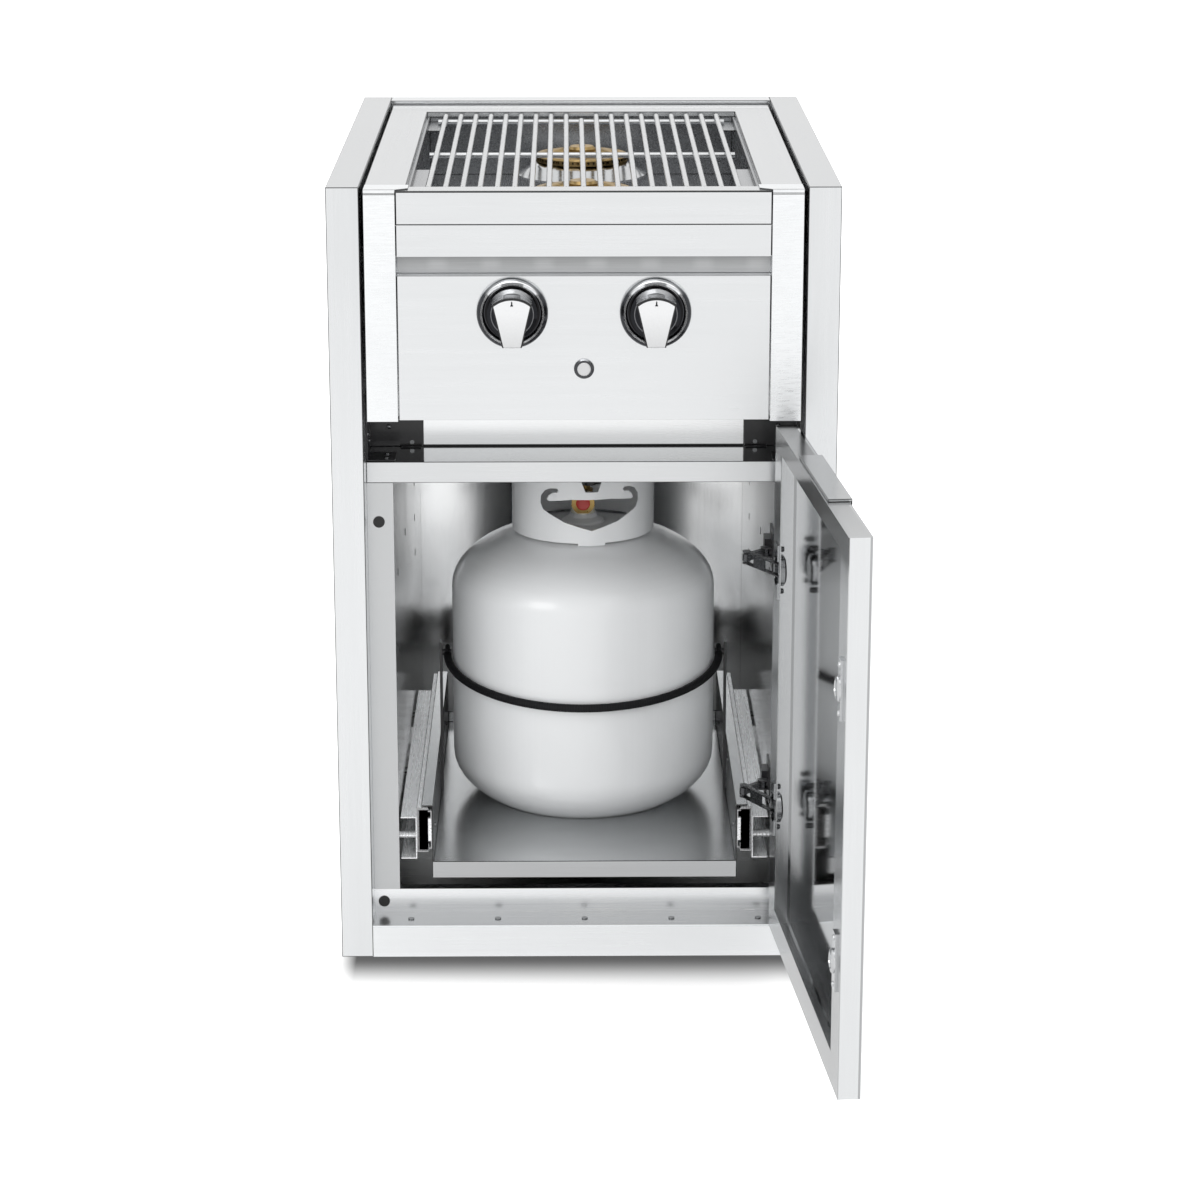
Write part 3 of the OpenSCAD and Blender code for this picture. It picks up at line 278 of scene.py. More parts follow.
def zinc(name, rgb, rough):
    """Galvanised or zinc-plated steel: drawn streaks and faint small spangles, with painted shade
    at its eased edges.
    """
    g = Graph(name)
    cells = g.new("ShaderNodeTexVoronoi", feature="F1")
    cells.inputs["Scale"].default_value = 60.0
    g.link(g.coords, cells.inputs["Vector"])
    drawn = g.noise(1.0, 3.0, 0.6, (420, 9, 420))
    mix = g.total((cells.outputs["Distance"], 0.12), (drawn, 0.9))
    # Painted shade at the eased edges.
    g.paint_with(g.colours(mix, (0.25, tint(rgb, 0.93)), (0.5, rgb), (0.8, tint(rgb, 1.06))),
                 g.painted_edge_shade(0.5))
    g.rough_with(g.remap(mix, rough - 0.02, rough + 0.05))
    g.set(Metallic=0.55)
    g.bump(drawn, 0.015, 0.0001)
    return g.mat


def paint(name, rgb, rough, coat=0.0, peel=0.08, cloud=0.03, scale=320.0, painted_side_light=None):
    """Painted or coated surface with orange peel and light handling marks.
    The side factor paints light onto the faces that look sideways."""
    g = Graph(name)
    blot = g.noise(11.0, 4.0, 0.6)
    grain = g.noise(scale, 2.0, 0.5)
    colour = g.shades(blot, rgb, 1 - cloud, 1 + cloud)
    # Painted light: faces that look sideways are made lighter.
    if painted_side_light:
        colour = g.scaled(colour, g.remap(g.math("ABSOLUTE", g.nx), 1.0, painted_side_light, 0.3, 0.95))
    g.paint_with(colour)
    g.rough_with(g.remap(grain, rough - 0.02, rough + 0.03))
    g.set(Coat_Weight=coat, Coat_Roughness=0.12)
    g.bump(grain, peel, 0.0005)
    return g.mat


def brass(name, rgb, rough, low=0.55, high=1.25, shade=None):
    """Cast brass, darkened in the low spots by heat and handling. shade, if given, makes a
    factor for the colour."""
    g = Graph(name)
    blot = g.noise(BRASS_MOTTLE, 5.0, 0.65)
    cast = g.noise(420.0, 3.0, 0.6)
    g.paint_with(g.colours(blot, (0.25, tint(rgb, low)), (0.5, rgb), (0.75, tint(rgb, high))),
                 shade(g) if shade else None)
    g.rough_with(g.remap(blot, rough - 0.08, rough + 0.16))
    g.set(Metallic=1.0)
    g.bump(cast, 0.12, 0.0003)
    return g.mat


def braid(name, rgb):
    """Woven sleeve of the elastic cord: two helices crossing round the cord."""
    g = Graph(name)
    shift = g.new("ShaderNodeVectorMath", operation="SUBTRACT")
    g.link(g.coords, shift.inputs[0])
    shift.inputs[1].default_value = (0, STRAP_Y, 0)
    parts = g.new("ShaderNodeSeparateXYZ")
    g.link(shift.outputs[0], parts.inputs[0])
    x, y, z = parts.outputs
    turn = g.math("ARCTAN2", y, x)
    tube = g.math("ARCTAN2", g.math("SUBTRACT", z, STRAP_Z),
                  g.math("SUBTRACT", g.hypot(x, y), STRAP_RADIUS))
    along = g.math("MULTIPLY", turn, 170.0)
    round_it = g.math("MULTIPLY", tube, 4.0)
    a = g.math("SINE", g.math("ADD", along, round_it))
    b = g.math("SINE", g.math("SUBTRACT", along, round_it))
    weave = g.remap(g.math("MULTIPLY", a, b), 0, 1, -1, 1)
    g.paint_with(g.colours(weave, (0.2, tint(rgb, 0.5)), (0.8, tint(rgb, 1.8))))
    g.set(Roughness=0.65, Specular_IOR_Level=0.25)
    g.bump(weave, 0.6, 0.0006)
    return g.mat


def door_sheet(name, rgb, rough):
    """Door pan: brushed outside and flanges, with a darker mirror skin inside the pan; painted
    shade darkens its back flange lower down and along its top, its top faces towards the cabinet,
    and its eased edges.
    """
    g = Graph(name)
    streak = g.streaks("z")
    value = g.total((streak, 0.5), (g.noise(6.0, 3.0, 0.55), 0.5))
    colour = g.shades(value, rgb, 0.96, 1.03)
    across = g.total((g.math("SUBTRACT", g.x, PIVOT[0]), -math.sin(DOOR_OPEN)),
                     (g.math("SUBTRACT", g.y, PIVOT[1]), math.cos(DOOR_OPEN)))
    depth = g.math("ADD", across, PIVOT[1] + HALF_DEPTH)
    inside = g.within(depth, *DOOR_SKIN)
    back = g.over(depth, DOOR_BACK)
    top = g.over(g.nz, FACES_UP)
    # Painted shade: the top faces grow darker towards the cabinet, and the back flange darker lower
    # down and along its top.
    painted_top_shade = g.remap(g.y, 0.62, 0.24, -0.86, -0.40)
    painted_flange_shade = g.math("MULTIPLY", g.remap(g.z, 0.62, 0.78, 0.10, 0.50),
                    g.remap(g.z, 1.0, 0.36, *DOOR_RIM_SHADE_Z))
    factor = g.blend(back, 1.0, painted_flange_shade)
    factor = g.blend(top, factor, painted_top_shade)
    # The mirror skin keeps its own darker colour; the eased edges get painted shade.
    factor = g.math("MULTIPLY", g.blend(inside, factor, 0.58), g.painted_edge_shade(0.25))
    g.paint_with(colour, factor)
    g.rough_with(g.blend(inside, g.remap(value, rough * 0.8, rough * 1.25), 0.07))
    g.set(Metallic=1.0)
    g.bump(g.math("MULTIPLY", streak, g.math("SUBTRACT", 1.0, inside)), 0.10, BRUSH_DEEP)
    return g.mat


def shelf_sheet(name, rgb, rough):
    """Shelf: polished on top, brushed along its front face; its top is also painted darker, as
    shade, and its eased edges carry painted shade.
    """
    g = Graph(name)
    streak = g.streaks("x")
    top = g.over(g.nz, FACES_UP)
    value = g.total((streak, 0.5), (g.noise(7.0, 3.0, 0.55), 0.5))
    colour = g.shades(value, rgb, 0.95, 1.04)
    # The top is painted a darker copy of the steel, as shade.
    g.paint_with(g.blend(top, colour, tint(rgb, 0.72)), g.painted_edge_shade(0.2))
    g.rough_with(g.blend(top, g.remap(value, rough * 0.8, rough * 1.2), 0.09))
    g.set(Metallic=1.0)
    g.bump(g.math("MULTIPLY", streak, g.math("SUBTRACT", 1.0, top)), 0.10, BRUSH_DEEP)
    return g.mat


def housing_sheet(name, rgb):
    """Front of the housing: brushed, with a near-black band painted at its foot as the shade of the
    slit that it leaves over the shelf.
    """
    g = Graph(name)
    streak = g.streaks("x")
    value = g.total((streak, 0.4), (g.noise(5.0, 3.0, 0.55), 0.6))
    # Painted shade: the slit over the shelf is drawn as a near-black band.
    painted_slit_shade = g.remap(g.z, 0.04, 1.0, *HOUSING_SLIT_SHADE_Z)
    g.paint_with(g.shades(value, rgb, 0.96, 1.03), painted_slit_shade)
    g.rough_with(g.remap(value, 0.20, 0.30))
    g.set(Metallic=1.0)
    g.bump(streak, 0.10, BRUSH_DEEP)
    return g.mat


def trim_sheet(name, rgb):
    """Rear trim: bright on its level face, with painted shade in the groove behind it."""
    g = Graph(name)
    streak = g.streaks("x")
    # Painted shade, darkening into the groove.
    painted_groove_shade = g.remap(g.z, 0.22, 1.0, *TRIM_GROOVE_Z)
    g.paint_with(g.shades(streak, rgb, 0.95, 1.04), painted_groove_shade)
    g.set(Metallic=1.0, Roughness=0.22)
    g.bump(streak, 0.10, BRUSH_DEEP)
    return g.mat


def liner_sheet(name, rgb, painted_jamb_shade):
    """Inner wall: smooth cold-rolled steel with rolling streaks; its jamb face is rougher and
    painted darker, as shade, and its eased edges carry painted shade.
    """
    g = Graph(name)
    value = g.total((g.noise(1.0, 3.0, 0.65, (500, 500, 7)), 0.45),
                    (g.noise(7.0, 4.0, 0.6), 0.55))
    ahead = g.math("MULTIPLY", g.math("LESS_THAN", g.ny, -FACES_UP),
                   g.math("LESS_THAN", g.y, JAMB_Y))
    colour = g.shades(value, rgb, 0.93, 1.04)
    # The jamb face that looks forward gets the darker colour, a painted shade.
    g.paint_with(g.blend(ahead, colour, painted_jamb_shade), g.painted_edge_shade(0.35))
    g.rough_with(g.blend(ahead, g.remap(value, 0.10, 0.17), 0.26))
    g.set(Metallic=1.0)
    g.bump(value, 0.05, 0.0004)
    return g.mat


def painted_port_shade(g):
    """A factor that paints the dark row of gas ports round each burner ring, as the shade inside
    the holes.
    """
    shade = 1.0
    for centre in BURNERS:
        ahead = g.math("SUBTRACT", g.y, centre)
        turn = g.math("ARCTAN2", ahead, g.x)
        near = g.math("LESS_THAN", g.math("ABSOLUTE", ahead), BURNER_REACH)
        ring = g.remap(g.math("SINE", g.math("MULTIPLY", turn, 56.0)), 1.0, 0.12, 0.25, 0.75)
        band = g.remap(g.math("ABSOLUTE", g.math("SUBTRACT", g.z, PORTS_Z)), 1.0, 0.0,
                       0.0010, 0.0018)
        dots = g.blend(g.math("MULTIPLY", band, near), 1.0, ring)
        shade = g.math("MULTIPLY", dots, shade)
    return shade


def cylinder_valve(name, metal, base):
    """Brass valve on a cream-coloured base ring."""
    g = Graph(name)
    blot = g.noise(60.0, 4.0, 0.6)
    low = g.math("LESS_THAN", g.z, VALVE_BASE_TOP)
    colour = g.colours(blot, (0.25, tint(metal, 0.6)), (0.5, metal), (0.75, tint(metal, 1.25)))
    g.paint_with(g.blend(low, colour, base))
    g.link(g.blend(low, 1.0, 0.0), g.bsdf.inputs["Metallic"])
    g.rough_with(g.remap(blot, 0.26, 0.44))
    g.bump(blot, 0.08, 0.0004)
    return g.mat


def vent_sheet(name, rgb):
    """Strip at the back of the vent recess: painted shade that darkens towards its top under the
    fascia, with faint painted reflections in patches.
    """
    g = Graph(name)
    bottom, middle, top = VENT_Z
    streak = g.streaks("x", 2.0, 0.6)
    # Painted reflections: faint light patches in a row along the strip.
    wave = g.math("SINE", g.math("MULTIPLY", g.x, 2 * math.pi / VENT_GLINT_SPACING))
    painted_glint = g.math("MULTIPLY", g.remap(wave, 0.0, 1.0, 0.1, 0.9),
                   g.remap(g.z, 0, 1, bottom, middle))
    painted_glint = g.math("MULTIPLY", painted_glint, g.remap(g.z, 1, 0, middle, top))
    # Painted shade, darker towards the top, plus the painted reflections.
    level = g.math("ADD", g.remap(g.z, 1.15, 0.62, bottom, top), g.math("MULTIPLY", painted_glint, 0.16))
    g.paint_with(g.shades(streak, rgb, 0.95, 1.05), level)
    g.set(Metallic=1.0, Roughness=0.32)
    g.bump(streak, 0.10, BRUSH_DEEP)
    return g.mat


def axis_place(g):
    """Place across and above the nearest knob's axis, and distance from it, in millimetres."""
    across = g.math("MULTIPLY", g.math("SUBTRACT", g.math("ABSOLUTE", g.x), KNOB_X), 1 / MM)
    upward = g.math("MULTIPLY", g.math("SUBTRACT", g.z, KNOB_Z), 1 / MM)
    return across, upward, g.hypot(across, upward)


def bezel_metal(name, dark, bright):
    """Turned bezel: dark plating, with a bright crescent painted at its top and a thin white ring
    painted on it, both painted highlights.
    """
    g = Graph(name)
    lines = g.noise(KNOB_LINES, 2.0, 0.5)
    upward, radius = axis_place(g)[1:]
    # Painted highlight: bright towards the top of the bezel.
    painted_top_highlight = g.remap(g.math("DIVIDE", upward, radius), 0.0, 1.0, 0.55, 0.85)
    colour = g.blend(g.math("LESS_THAN", radius, BEZEL_STEP), dark, (0.015, 0.015, 0.016))
    lit = g.math("MULTIPLY", g.within(radius, BEZEL_STEP, BEZEL_EDGE), painted_top_highlight)
    colour = g.blend(lit, colour, bright)
    # Painted highlight on the outer band as well.
    outer = g.math("MULTIPLY", g.over(radius, BEZEL_EDGE), painted_top_highlight)
    colour = g.blend(outer, colour, (0.34, 0.35, 0.36))
    # Painted highlight: a thin white ring.
    colour = g.blend(g.within(radius, *BEZEL_HIGHLIGHT_RING), colour, WHITE)
    g.paint_with(colour, g.remap(lines, 0.92, 1.08))
    g.set(Metallic=0.9, Roughness=0.14)
    g.bump(lines, 0.04, 0.0002)
    return g.mat


def knob_metal(name, dark, bright, rough):
    """Dark plated metal with a painted highlight on the crown where it looks up, and fine turning
    lines.
    """
    g = Graph(name)
    lines = g.noise(KNOB_LINES, 2.0, 0.5)
    # Painted highlight: faces that look up turn bright.
    colour = g.blend(g.remap(g.nz, 0.0, 1.0, 0.35, 0.75), dark, bright)
    radius = axis_place(g)[2]
    colour = g.blend(g.within(radius, *KNOB_GROOVE), colour, (0.16, 0.163, 0.17))
    g.paint_with(colour, g.remap(lines, 0.9, 1.1))
    g.set(Metallic=0.9, Roughness=rough)
    g.bump(lines, 0.05, 0.0002)
    return g.mat


def knob_face(name, face, rim):
    """White cap with a fine moulded grain, painted darker towards its foot as shade, inside a black
    rim.
    """
    g = Graph(name)
    lines = g.noise(500.0, 2.0, 0.5)
    across, upward = axis_place(g)[:2]
    half_wide = g.remap(upward, GRIP_FOOT / 2, GRIP_WIDE / 2, -GRIP_DROP, GRIP_CROWN * 0.75)
    beyond = g.math("SUBTRACT", g.math("ABSOLUTE", across), half_wide)
    arc = g.hypot(across, g.math("ADD", upward, GRIP_ARC - GRIP_CROWN))
    edge = g.math("MAXIMUM", g.over(beyond, -RIM_SIDE), g.over(arc, GRIP_ARC - RIM_CROWN))
    edge = g.math("MULTIPLY", g.math("MAXIMUM", edge, g.over(g.ny, -0.9)), g.over(g.z, 0.70))
    # Painted shade towards the cap's foot.
    level = g.remap(upward, 0.0, 1.0, -30.0, 6.0)
    colour = g.blend(edge, g.blend(level, tint(face, 0.80), face), rim)
    g.paint_with(colour, g.remap(lines, 0.98, 1.02))
    g.set(Roughness=0.34, Coat_Weight=0.1)
    g.bump(lines, 0.02, 0.0002)
    return g.mat


def steel(level):
    """Faintly cool grey of stainless steel."""
    return (level * 0.985, level, level * 1.012)


MATERIALS = {
    # Side panels: painted shade by height, lighter low down and darker up high, and their tops
    # painted darker.
    "side": brushed("side_panel_steel", steel(0.805), 0.24, "z", cloud=0.03,
                    painted_height_shade=(0.05, 0.80, 1.04, 0.96), up=0.80),
    "across": brushed("front_steel", steel(0.80), 0.24, "x", cloud=0.03),
    "rail": brushed("rail_steel", steel(0.92), 0.24, "x", cloud=0.03),
    # Sill: its top is painted darker, as shade.
    "sill": brushed("sill_steel", steel(0.98), 0.24, "x", cloud=0.04, up=0.45),
    "housing": housing_sheet("housing_steel", steel(0.98)),
    # Rear rail: its top is painted slightly darker, as shade.
    "back_rail": brushed("back_rail_steel", steel(0.84), 0.22, "x", up=0.92),
    "trim": trim_sheet("rear_trim_steel", steel(0.80)),
    "shelf": shelf_sheet("shelf_steel", steel(0.70), 0.24),
    "deep": brushed("deck_steel", steel(0.66), 0.24, "y", cloud=0.03),
    # Liners: the darker second colour is the painted shade of the jamb face.
    "inner": liner_sheet("inner_steel", steel(0.97), steel(0.58)),
    # Tray: its faces that look up are painted lighter, as light.
    "tray": brushed("tray_steel", steel(0.52), 0.20, "x", cloud=0.05, up=1.23),
    # Floor pan: painted dark, as the shade inside the cabinet's base.
    "pan": brushed("floor_pan_steel_painted_shade", steel(0.22), 0.30, "x", cloud=0.08),
    # Pillars: painted shade at their eased edges.
    "bright": polished("pillar_steel", steel(0.91), 0.30, wave=0.01, folded=True),
    "base": polished("burner_base_steel", steel(0.66), 0.16),
    "rod": polished("rod_steel", steel(0.60), 0.20),
    "door": door_sheet("door_steel", steel(0.785), 0.22),
    "handle": brushed("handle_steel", steel(0.46), 0.20, "y"),
    "fire": brushed("firebox_steel", (0.34, 0.348, 0.36), 0.26, "y", grain=0.3, cloud=0.08),
    "vent": vent_sheet("vent_steel", steel(0.44)),
    "zinc": zinc("zinc_plate", (0.90, 0.91, 0.92), 0.26),
    "bracket": zinc("bracket_zinc", (0.92, 0.93, 0.94), 0.26),
    "nickel": polished("nickel_plate", (0.60, 0.61, 0.62), 0.18),
    "cup": polished("cup_plate", (0.42, 0.43, 0.44), 0.20),
    "arm": polished("arm_plate", (0.09, 0.092, 0.096), 0.26),
    "screw": polished("screw_plate", (0.20, 0.205, 0.21), 0.22),
    "black": paint("black_coat", (0.014, 0.014, 0.016), 0.34, coat=0.3),
    # Black rubber; the liner slots also take it, as painted shade.
    "rubber": paint("black_rubber_and_slot_shade", (0.02, 0.02, 0.02), 0.6, peel=0.15),
    # Bezel: the second colour is its painted highlight.
    "bezel": bezel_metal("dark_bezel", (0.05, 0.052, 0.057), (0.95, 0.96, 0.97)),
    # Knob body: the second colour is the painted highlight on its crown.
    "dish": knob_metal("knob_body", (0.020, 0.021, 0.024), (0.74, 0.75, 0.77), 0.18),
    "grip": knob_face("knob_face", (0.64, 0.645, 0.65), (0.008, 0.008, 0.009)),
    # Igniter ring: the second colour is the painted highlight on its crown.
    "ring": knob_metal("igniter_ring", (0.07, 0.072, 0.078), (0.55, 0.56, 0.58), 0.20),
    "ceramic": paint("ceramic_white", (0.60, 0.59, 0.57), 0.25, coat=0.4),
    # Tank: its faces that look sideways are painted lighter, as light.
    "tank": paint("tank_enamel", (0.80, 0.812, 0.82), 0.30, coat=0.45, peel=0.008, cloud=0.003,
                  scale=140.0, painted_side_light=1.12),
    "brass": brass("burner_brass", (0.48, 0.34, 0.15), 0.32, 0.60, 1.30, painted_port_shade),
    "valve": brass("valve_brass", (0.50, 0.36, 0.15), 0.30),
    "tank_valve": cylinder_valve("tank_valve_brass", (0.40, 0.27, 0.10), (0.85, 0.83, 0.72)),
    "braid": braid("strap_braid", (0.005, 0.005, 0.006)),
    "red": paint("red_plastic", (0.55, 0.02, 0.012), 0.35, coat=0.3),
}

LOOKS = {
    "side": ("left_side_panel", "right_side_panel"),
    "across": ("upper_fascia", "lower_fascia", "control_panel"),
    "rail": ("bottom_rail",),
    "sill": ("sill",),
    "housing": ("burner_housing",),
    "back_rail": ("top_rear_rail",),
    "trim": ("rear_trim",),
    "shelf": ("shelf",),
    "deep": ("top_panel",),
    "inner": ("back_panel", "left_liner", "right_liner"),
    "tray": ("tray",),
    "pan": ("floor_pan",),
    "bright": ("left_pillar", "right_pillar"),
    "base": ("burner_bases",),
    "rod": ("grate",),
    "door": ("door_panel",),
    "handle": ("door_handle",),
    "fire": ("firebox",),
    "vent": ("vent_strip",),
    "zinc": ("outer_slides", "middle_slides", "inner_slides"),
    "bracket": ("slide_brackets",),
    "nickel": ("gas_tubes", "left_stem", "right_stem", "door_catches"),
    "cup": ("hinge_cups",),
    "arm": ("hinge_arms", "hinge_links"),
    "screw": ("screws",),
    "black": ("corner_brackets", "hinge_plates", "manifold", "strap_posts", "tank_handwheel"),
    "rubber": ("jamb_plugs", "igniter_module"),
    "bezel": ("knob_bezels",),
    "dish": ("left_knob", "right_knob"),
    "grip": ("left_knob_cap", "right_knob_cap", "igniter_button"),
    "ring": ("igniter_bezel",),
    "ceramic": ("electrodes",),
    "tank": ("tank_body", "tank_foot", "tank_collar"),
    "brass": ("burner_rings", "burner_caps"),
    "valve": ("gas_valves",),
    "tank_valve": ("tank_valve",),
    "braid": ("strap",),
}
SMOOTH = ("grate", "burner_rings", "burner_caps", "burner_bases", "strap", "tank_body",
          "tank_foot", "tank_collar", "tank_valve", "tank_handwheel", "gas_tubes", "gas_valves",
          "manifold", "knob_bezels", "igniter_bezel", "igniter_button", "igniter_module",
          "electrodes", "left_stem", "right_stem", "left_knob", "right_knob", "left_knob_cap",
          "right_knob_cap", "screws", "jamb_plugs", "hinge_cups", "hinge_arms", "hinge_links",
          "hinge_plates", "strap_posts")


def finish_faces(obj, rounded, split_degrees, ease):
    """Round faces are shaded smooth up to their edges; flat ones get their edges eased by a
    width in millimetres."""
    for poly in obj.data.polygons:
        poly.use_smooth = rounded
    if rounded:
        split = obj.modifiers.new("split", "EDGE_SPLIT")
        split.split_angle = math.radians(split_degrees)
        return None
    bevel = obj.modifiers.new("edges", "BEVEL")
    bevel.width = ease * MM
    bevel.segments = 2
    bevel.use_clamp_overlap = True
    return bevel


def soften(obj, rounded):
    """Shading of a CAD part: its triangles are joined, and folded sheet is made flat first."""
    weld = obj.modifiers.new("weld", "WELD")
    weld.merge_threshold = 0.01 * MM
    if not rounded:
        flat = obj.modifiers.new("flat", "DECIMATE")
        flat.decimate_type = "DISSOLVE"
        flat.angle_limit = math.radians(1)
    bevel = finish_faces(obj, rounded, split_degrees=32, ease=0.9)
    if bevel:
        bevel.limit_method = "ANGLE"
        bevel.angle_limit = math.radians(40)


for key, names in LOOKS.items():
    for name in names:
        node = NODES[name]
        node.data.materials.clear()
        node.data.materials.append(MATERIALS[key])
        soften(node, name in SMOOTH)


def piece(name, verts, faces, look, body, smooth=False):
    """A mesh piece from points in millimetres from the front face, riding on a body."""
    mesh = bpy.data.meshes.new(name)
    mesh.from_pydata([front(*v) for v in verts], [], faces)
    work = bmesh.new()
    work.from_mesh(mesh)
    bmesh.ops.recalc_face_normals(work, faces=work.faces)
    work.to_mesh(mesh)
    work.free()
    obj = bpy.data.objects.new(name, mesh)
    bpy.context.scene.collection.objects.link(obj)
    mesh.materials.append(MATERIALS[look])
    finish_faces(obj, smooth, split_degrees=40, ease=0.15)
    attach(obj, body)


def prism(outline, place):
    """A flat outline given thickness; place turns (u, v, w) into a point."""
    n = len(outline)
    verts = [place(u, v, w) for w in (0, 1) for u, v in outline]
    faces = [tuple(range(n)), tuple(range(2 * n - 1, n - 1, -1))]
    faces += [(i, (i + 1) % n, n + (i + 1) % n, n + i) for i in range(n)]
    return verts, faces


def lathe(profile, place, steps):
    """A profile of (radius, height) turned about the w axis; place turns (u, v, w) into a point."""
    verts, faces = [], []
    for radius, high in profile:
        for i in range(steps):
            turn = 2 * math.pi * i / steps
            verts.append(place(radius * math.cos(turn), radius * math.sin(turn), high))
    for k in range(len(profile) - 1):
        for i in range(steps):
            j = (i + 1) % steps
            faces.append((k * steps + i, k * steps + j, (k + 1) * steps + j, (k + 1) * steps + i))
    faces.append(tuple(range(steps - 1, -1, -1)))
    faces.append(tuple((len(profile) - 1) * steps + i for i in range(steps)))
    return verts, faces


def joined(parts):
    """Several forms as one."""
    verts, faces = [], []
    for more_verts, more_faces in parts:
        faces += [tuple(len(verts) + i for i in face) for face in more_faces]
        verts += more_verts
    return verts, faces


def pill(length, width, steps=6):
    """Outline of a slot with round ends, along v."""
    half, r = length / 2 - width / 2, width / 2
    top = [(r * math.cos(math.pi * i / steps), half + r * math.sin(math.pi * i / steps))
           for i in range(steps + 1)]
    return top + [(-u, -v) for u, v in top]


def ribbon(points, width):
    """Outline of a bent strip of even width through a few points."""
    left, right = [], []
    for i, (u, v) in enumerate(points):
        a, b = points[max(i - 1, 0)], points[min(i + 1, len(points) - 1)]
        du, dv = b[0] - a[0], b[1] - a[1]
        size = math.hypot(du, dv)
        left.append((u - dv / size * width / 2, v + du / size * width / 2))
        right.append((u + dv / size * width / 2, v - du / size * width / 2))
    return left + right[::-1]


def as_open(x, y, z):
    """A point of the closed door, swung to where the door stands."""
    px, py = PIVOT[0] / MM, (PIVOT[1] + HALF_DEPTH) / MM
    dx, dy = x - px, y - py
    return (px + dx * math.cos(DOOR_OPEN) - dy * math.sin(DOOR_OPEN),
            py + dx * math.sin(DOOR_OPEN) + dy * math.cos(DOOR_OPEN), z)


# Outlines and profiles, in millimetres.
POINTER = [(0, 3.2), (0.75, 1.4), (0.7, -0.8), (1.5, -1.7), (1.5, -2.8), (-1.5, -2.8),
           (-1.5, -1.7), (-0.7, -0.8), (-0.75, 1.4)]
SCREW_END = [(3.1, 0), (3.1, 5.2), (2.4, 6.2), (0.6, 6.5)]
HEAD = [(2.9, 0), (2.8, 0.6), (2.2, 1.2), (1.2, 1.6), (0.5, 1.7)]
DISC = [(8.4, 0), (8.4, 0.5), (7.2, 1.1), (6.4, 0.8), (3.2, 0.5), (0.6, 0.5)]
PUCK = [(13.0, 0), (13.0, 1.5), (11.6, 3.0), (8.6, 3.6), (8.0, 2.6), (2.6, 2.4), (0.6, 2.6)]
UPPER_CLIP = [(0, 0), (0.4, 4.5), (2.8, 6.6), (5.0, 5.0), (4.6, 2.4), (7.2, 1.4), (9.4, 4.0)]
LOWER_CLIP = [(0.2, 0), (0.6, -4.2), (3.0, -6.0), (5.4, -4.4), (7.6, -6.4), (9.0, -3.0)]

# Places of the pieces, in millimetres: x from the middle, y from the front face, z.
LINER_X, TRAY_X, BRACKET_X, CLIP_X = 213.5, 174, 241.5, 179.4
POINTER_Y, POINTER_Z = -40, 769
LINER_SLOTS = ((545, 334), (545, 380), (545, 426), (120, 334), (120, 426), (300, 426))
TRAY_SCREWS = ((92, 128), (236, 158), (300, 158), (470, 128))
BRACKET_SCREWS = ((59, 603), (82, 590), (82, 613))
FRONT_SCREW = (221, 121, 597)
CLIPS, CLIP_Y, CLIP_WIDE, CLIP_THICK = ((UPPER_CLIP, 143.5), (LOWER_CLIP, 123.0)), 41, 5, 1.1
SLOT_LONG, SLOT_WIDE = 9, 2.4
VALVE_DISC = (262, 470.2)
CATCH_X, CATCH_Y, CATCH_HEIGHTS, CATCH_SCREW = -218, 27, (181, 467), 25
CUP_X, CUP_Y, HINGE_HEIGHTS, CUP_SCREW = 219, 22.4, (190, 467), 24
SCREW_STEPS, PUCK_STEPS, DISC_STEPS = 20, 36, 40

for side, sign in (("left", -1), ("right", 1)):
    verts, faces = prism(POINTER, lambda u, v, w: (sign * KNOB_X / MM + u, POINTER_Y - 0.25 * w,
                                                   POINTER_Z + v))
    piece(side + "_pointer", verts, faces, "dish", side + "_knob")
    # Painted shade: the open slots in the liners are drawn as thin black pieces.
    slots = [prism(pill(SLOT_LONG, SLOT_WIDE), lambda u, v, w, y=y, z=z:
                   (sign * (LINER_X - 0.35 * w), y + u, z + v)) for y, z in LINER_SLOTS]
    piece(side + "_liner_slot_shades", *joined(slots), "rubber", "cabinet")
    heads = [lathe(HEAD, lambda u, v, w, y=y, z=z: (sign * (TRAY_X - w), y + u, z + v),
                   SCREW_STEPS) for y, z in TRAY_SCREWS]
    piece(side + "_tray_screws", *joined(heads), "screw", "tray", smooth=True)
    heads = [lathe(HEAD, lambda u, v, w, y=y, z=z: (sign * (BRACKET_X - w), y + u, z + v),
                   SCREW_STEPS) for y, z in BRACKET_SCREWS]
    x, y, z = FRONT_SCREW
    heads.append(lathe(HEAD, lambda u, v, w: (sign * x + u, y - w, z + v), SCREW_STEPS))
    piece(side + "_bracket_screws", *joined(heads), "screw", "cabinet", smooth=True)
    clips = [prism(ribbon(points, CLIP_THICK), lambda u, v, w, base=base:
                   (sign * (CLIP_X + u), CLIP_Y + CLIP_WIDE * w, base + v))
             for points, base in CLIPS]
    piece(side + "_slide_clips", *joined(clips), "nickel", "tray")

